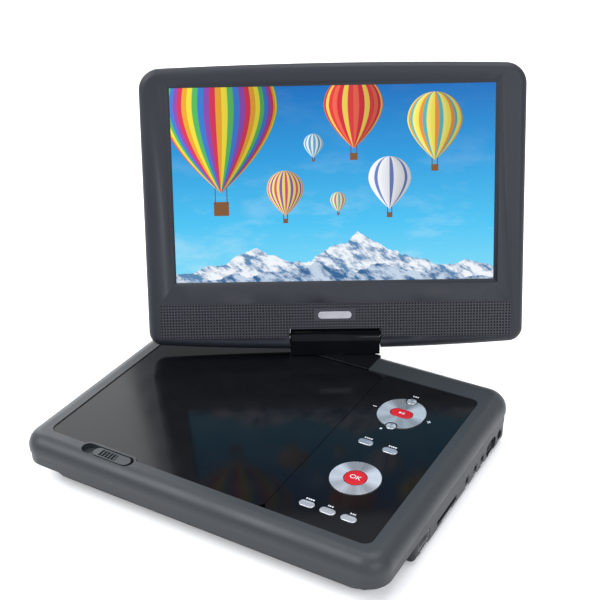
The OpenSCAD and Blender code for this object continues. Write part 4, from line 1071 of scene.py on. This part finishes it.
class PLAYER_OT_marks(Step, bpy.types.Operator):
    """Printed marks beside the keys and the sockets, as plain signs"""
    bl_idname = "player.marks"
    bl_label = "Marks"

    def build(self):
        s, _, _ = settings()
        rise = s.mark / MM
        marks = []

        def bar(x, y, w, d, z=PANEL_TOP):
            marks.append(block("bar", (x - w / 2, y - d / 2, z - 0.02), (x + w / 2, y + d / 2, z + rise)))

        def arrow(x, y, size, way, z=PANEL_TOP, into=marks):
            piece = drum("arrow", (0, 0), size, z - 0.02, z + rise, 3)
            piece.data.transform(Matrix.Translation(Vector((x, y, 0)) * MM) @ Matrix.Rotation(way, 4, "Z"))
            into.append(piece)

        vx, vy = middle_of("volume_pad")
        low, high = box_mm("volume_pad")
        bar(low.x - 3.4, vy, 2.4, 0.55)
        bar(high.x + 3.4, vy, 2.4, 0.55)
        bar(high.x + 3.4, vy, 0.55, 2.4)
        mute, stop = middle_of("mute_button"), middle_of("stop_button")
        for dx, wide in ((-1.3, 0.8), (0.1, 1.0), (1.4, 0.7)):
            bar(mute[0] + dx, mute[1] + 6.0, wide, 1.1)
        bar(stop[0] - 4.2, stop[1] - 4.6, 1.3, 1.3)
        for key, lift in (("setup_button", 4.2), ("menu_button", 4.2), ("source_button", 4.2)):
            x, y = middle_of(key)
            for dx, wide in ((-2.2, 0.9), (-0.9, 0.8), (0.3, 1.0), (1.7, 1.1)):
                bar(x + dx, y + lift, wide, 1.0)
        for key, way in (("previous_button", math.pi / 2), ("next_button", -math.pi / 2)):
            x, y = middle_of(key)
            side = -1 if key == "previous_button" else 1
            for dx in (-0.7, 0.7):
                arrow(x + dx, y + 4.3, 0.8, way)
            bar(x + side * 1.7, y + 4.3, 0.35, 1.4)
        dress(gather("panel_marks", marks), "base", Player.finish["mark"])

        play_top = box_mm("play_button")[1].z
        signs = []
        arrow(vx - 0.9, vy, 1.25, -math.pi / 2, play_top, signs)
        for dx in (0.7, 1.6):
            signs.append(block("bar", (vx + dx - 0.22, vy - 1.0, play_top - 0.02),
                               (vx + dx + 0.22, vy + 1.0, play_top + rise)))
        dress(gather("play_mark", signs), "play_button", Player.finish["mark"])

        centre = middle_of("ok_button")
        ok_top = box_mm("ok_button")[1].z
        bpy.ops.object.select_all(action="DESELECT")
        bpy.ops.object.text_add(location=(0, 0, 0))
        text = bpy.context.object
        text.data.body = "OK"
        text.data.size, text.data.extrude = 4.6 * MM, rise / 2 * MM
        text.data.align_x, text.data.align_y = "CENTER", "CENTER"
        bpy.ops.object.convert(target="MESH")
        piece = bpy.context.object
        piece.name = piece.data.name = "ok_mark"
        piece.data.transform(Matrix.Translation(Vector((*centre, ok_top + rise / 2 - 0.01)) * MM))
        dress(piece, "ok_button", Player.finish["mark"])

        x = port_high.x
        tags = []
        for y, wide in ((USB_Y, 9.0), (CARD_Y, 13.0), *((j, 4.6) for j in JACKS), (SWITCH_Y, 7.0),
                        (INLET_Y, 4.0)):
            parts = max(2, round(wide / 2.2))
            for i in range(parts):
                at = y - wide / 2 + (i + 0.5) * wide / parts
                tags.append(block("tag", (x - 0.02, at - 0.36 * wide / parts, 3.0 + 1.9),
                                  (x + rise, at + 0.36 * wide / parts, 3.0 + 2.7)))
        dress(gather("port_marks", tags), "base", Player.finish["mark"])


class PLAYER_OT_stage(Step, bpy.types.Operator):
    """Pale floor, soft lights and the camera"""
    bl_idname = "player.stage"
    bl_label = "Stage"

    def build(self):
        _, _, stage = settings()
        bpy.ops.object.select_all(action="DESELECT")
        bpy.ops.mesh.primitive_plane_add(size=16, location=(0, 0, -0.0002))
        floor = bpy.context.object
        floor.name = "floor"
        paint = Paint("pale floor", roughness=0.75, specular=0.2, emission=(1.0, 1.0, 1.0), strength=0.07)
        paint.set(base_color=paint.mix(paint.noise(3.0, 3.0), shade(stage.floor, 0.99), tuple(stage.floor)))
        floor.data.materials.append(paint.material)

        bpy.context.scene.view_settings.view_transform = "Standard"
        world = bpy.data.worlds.new("soft room")
        bpy.context.scene.world = world
        world.use_nodes = True
        world.node_tree.nodes["Background"].inputs[0].default_value = (0.93, 0.96, 1.0, 1.0)
        world.node_tree.nodes["Background"].inputs[1].default_value = 1.0
        for name, place, aim, size, power in LIGHTS:
            bpy.ops.object.light_add(type="AREA", location=place)
            lamp = bpy.context.object
            lamp.name = name
            lamp.data.shape, lamp.data.size, lamp.data.size_y, lamp.data.energy = "RECTANGLE", *size, power
            lamp.rotation_euler = (Vector(aim) - Vector(place)).to_track_quat("-Z", "Y").to_euler()
        bpy.ops.object.camera_add(location=stage.place)
        camera = bpy.context.object
        camera.name = "view"
        camera.data.lens, camera.data.sensor_width = stage.lens, 36
        camera.data.dof.use_dof = False
        camera.data.clip_start = 0.01
        look = (Vector(stage.aim) - Vector(stage.place)).to_track_quat("-Z", "Y").to_matrix()
        camera.rotation_euler = (look @ Matrix.Rotation(stage.roll, 3, "Z")).to_euler()
        bpy.context.scene.camera = camera


STEPS = (PLAYER_OT_finishes, PLAYER_OT_rim, PLAYER_OT_lower_shell, PLAYER_OT_ports, PLAYER_OT_panels,
         PLAYER_OT_keys, PLAYER_OT_latch, PLAYER_OT_hinge, PLAYER_OT_screen, PLAYER_OT_grille,
         PLAYER_OT_display, PLAYER_OT_marks, PLAYER_OT_stage)
GROUPS = {"player_sizes": PlayerSizes, "player_colours": PlayerColours, "player_stage": PlayerStage}


class PLAYER_PT_panel(bpy.types.Panel):
    """Lists the player's sizes, colours and build steps"""
    bl_idname = "PLAYER_PT_panel"
    bl_label = "Disc Player"
    bl_space_type = "VIEW_3D"
    bl_region_type = "UI"
    bl_category = "Disc Player"

    def draw(self, context):
        for group in GROUPS:
            box = self.layout.box()
            holder = getattr(context.scene, group)
            for name in holder.__annotations__:
                box.prop(holder, name)
        for step in STEPS:
            self.layout.operator(step.bl_idname)


def register():
    for cls in (*GROUPS.values(), *STEPS, PLAYER_PT_panel):
        bpy.utils.register_class(cls)
    for name, cls in GROUPS.items():
        setattr(bpy.types.Scene, name, bpy.props.PointerProperty(type=cls))


def unregister():
    for name in GROUPS:
        delattr(bpy.types.Scene, name)
    for cls in (PLAYER_PT_panel, *reversed(STEPS), *GROUPS.values()):
        bpy.utils.unregister_class(cls)


def main():
    register()
    for step in STEPS:
        category, name = step.bl_idname.split(".")
        getattr(getattr(bpy.ops, category), name)()


if __name__ == "__main__":
    main()
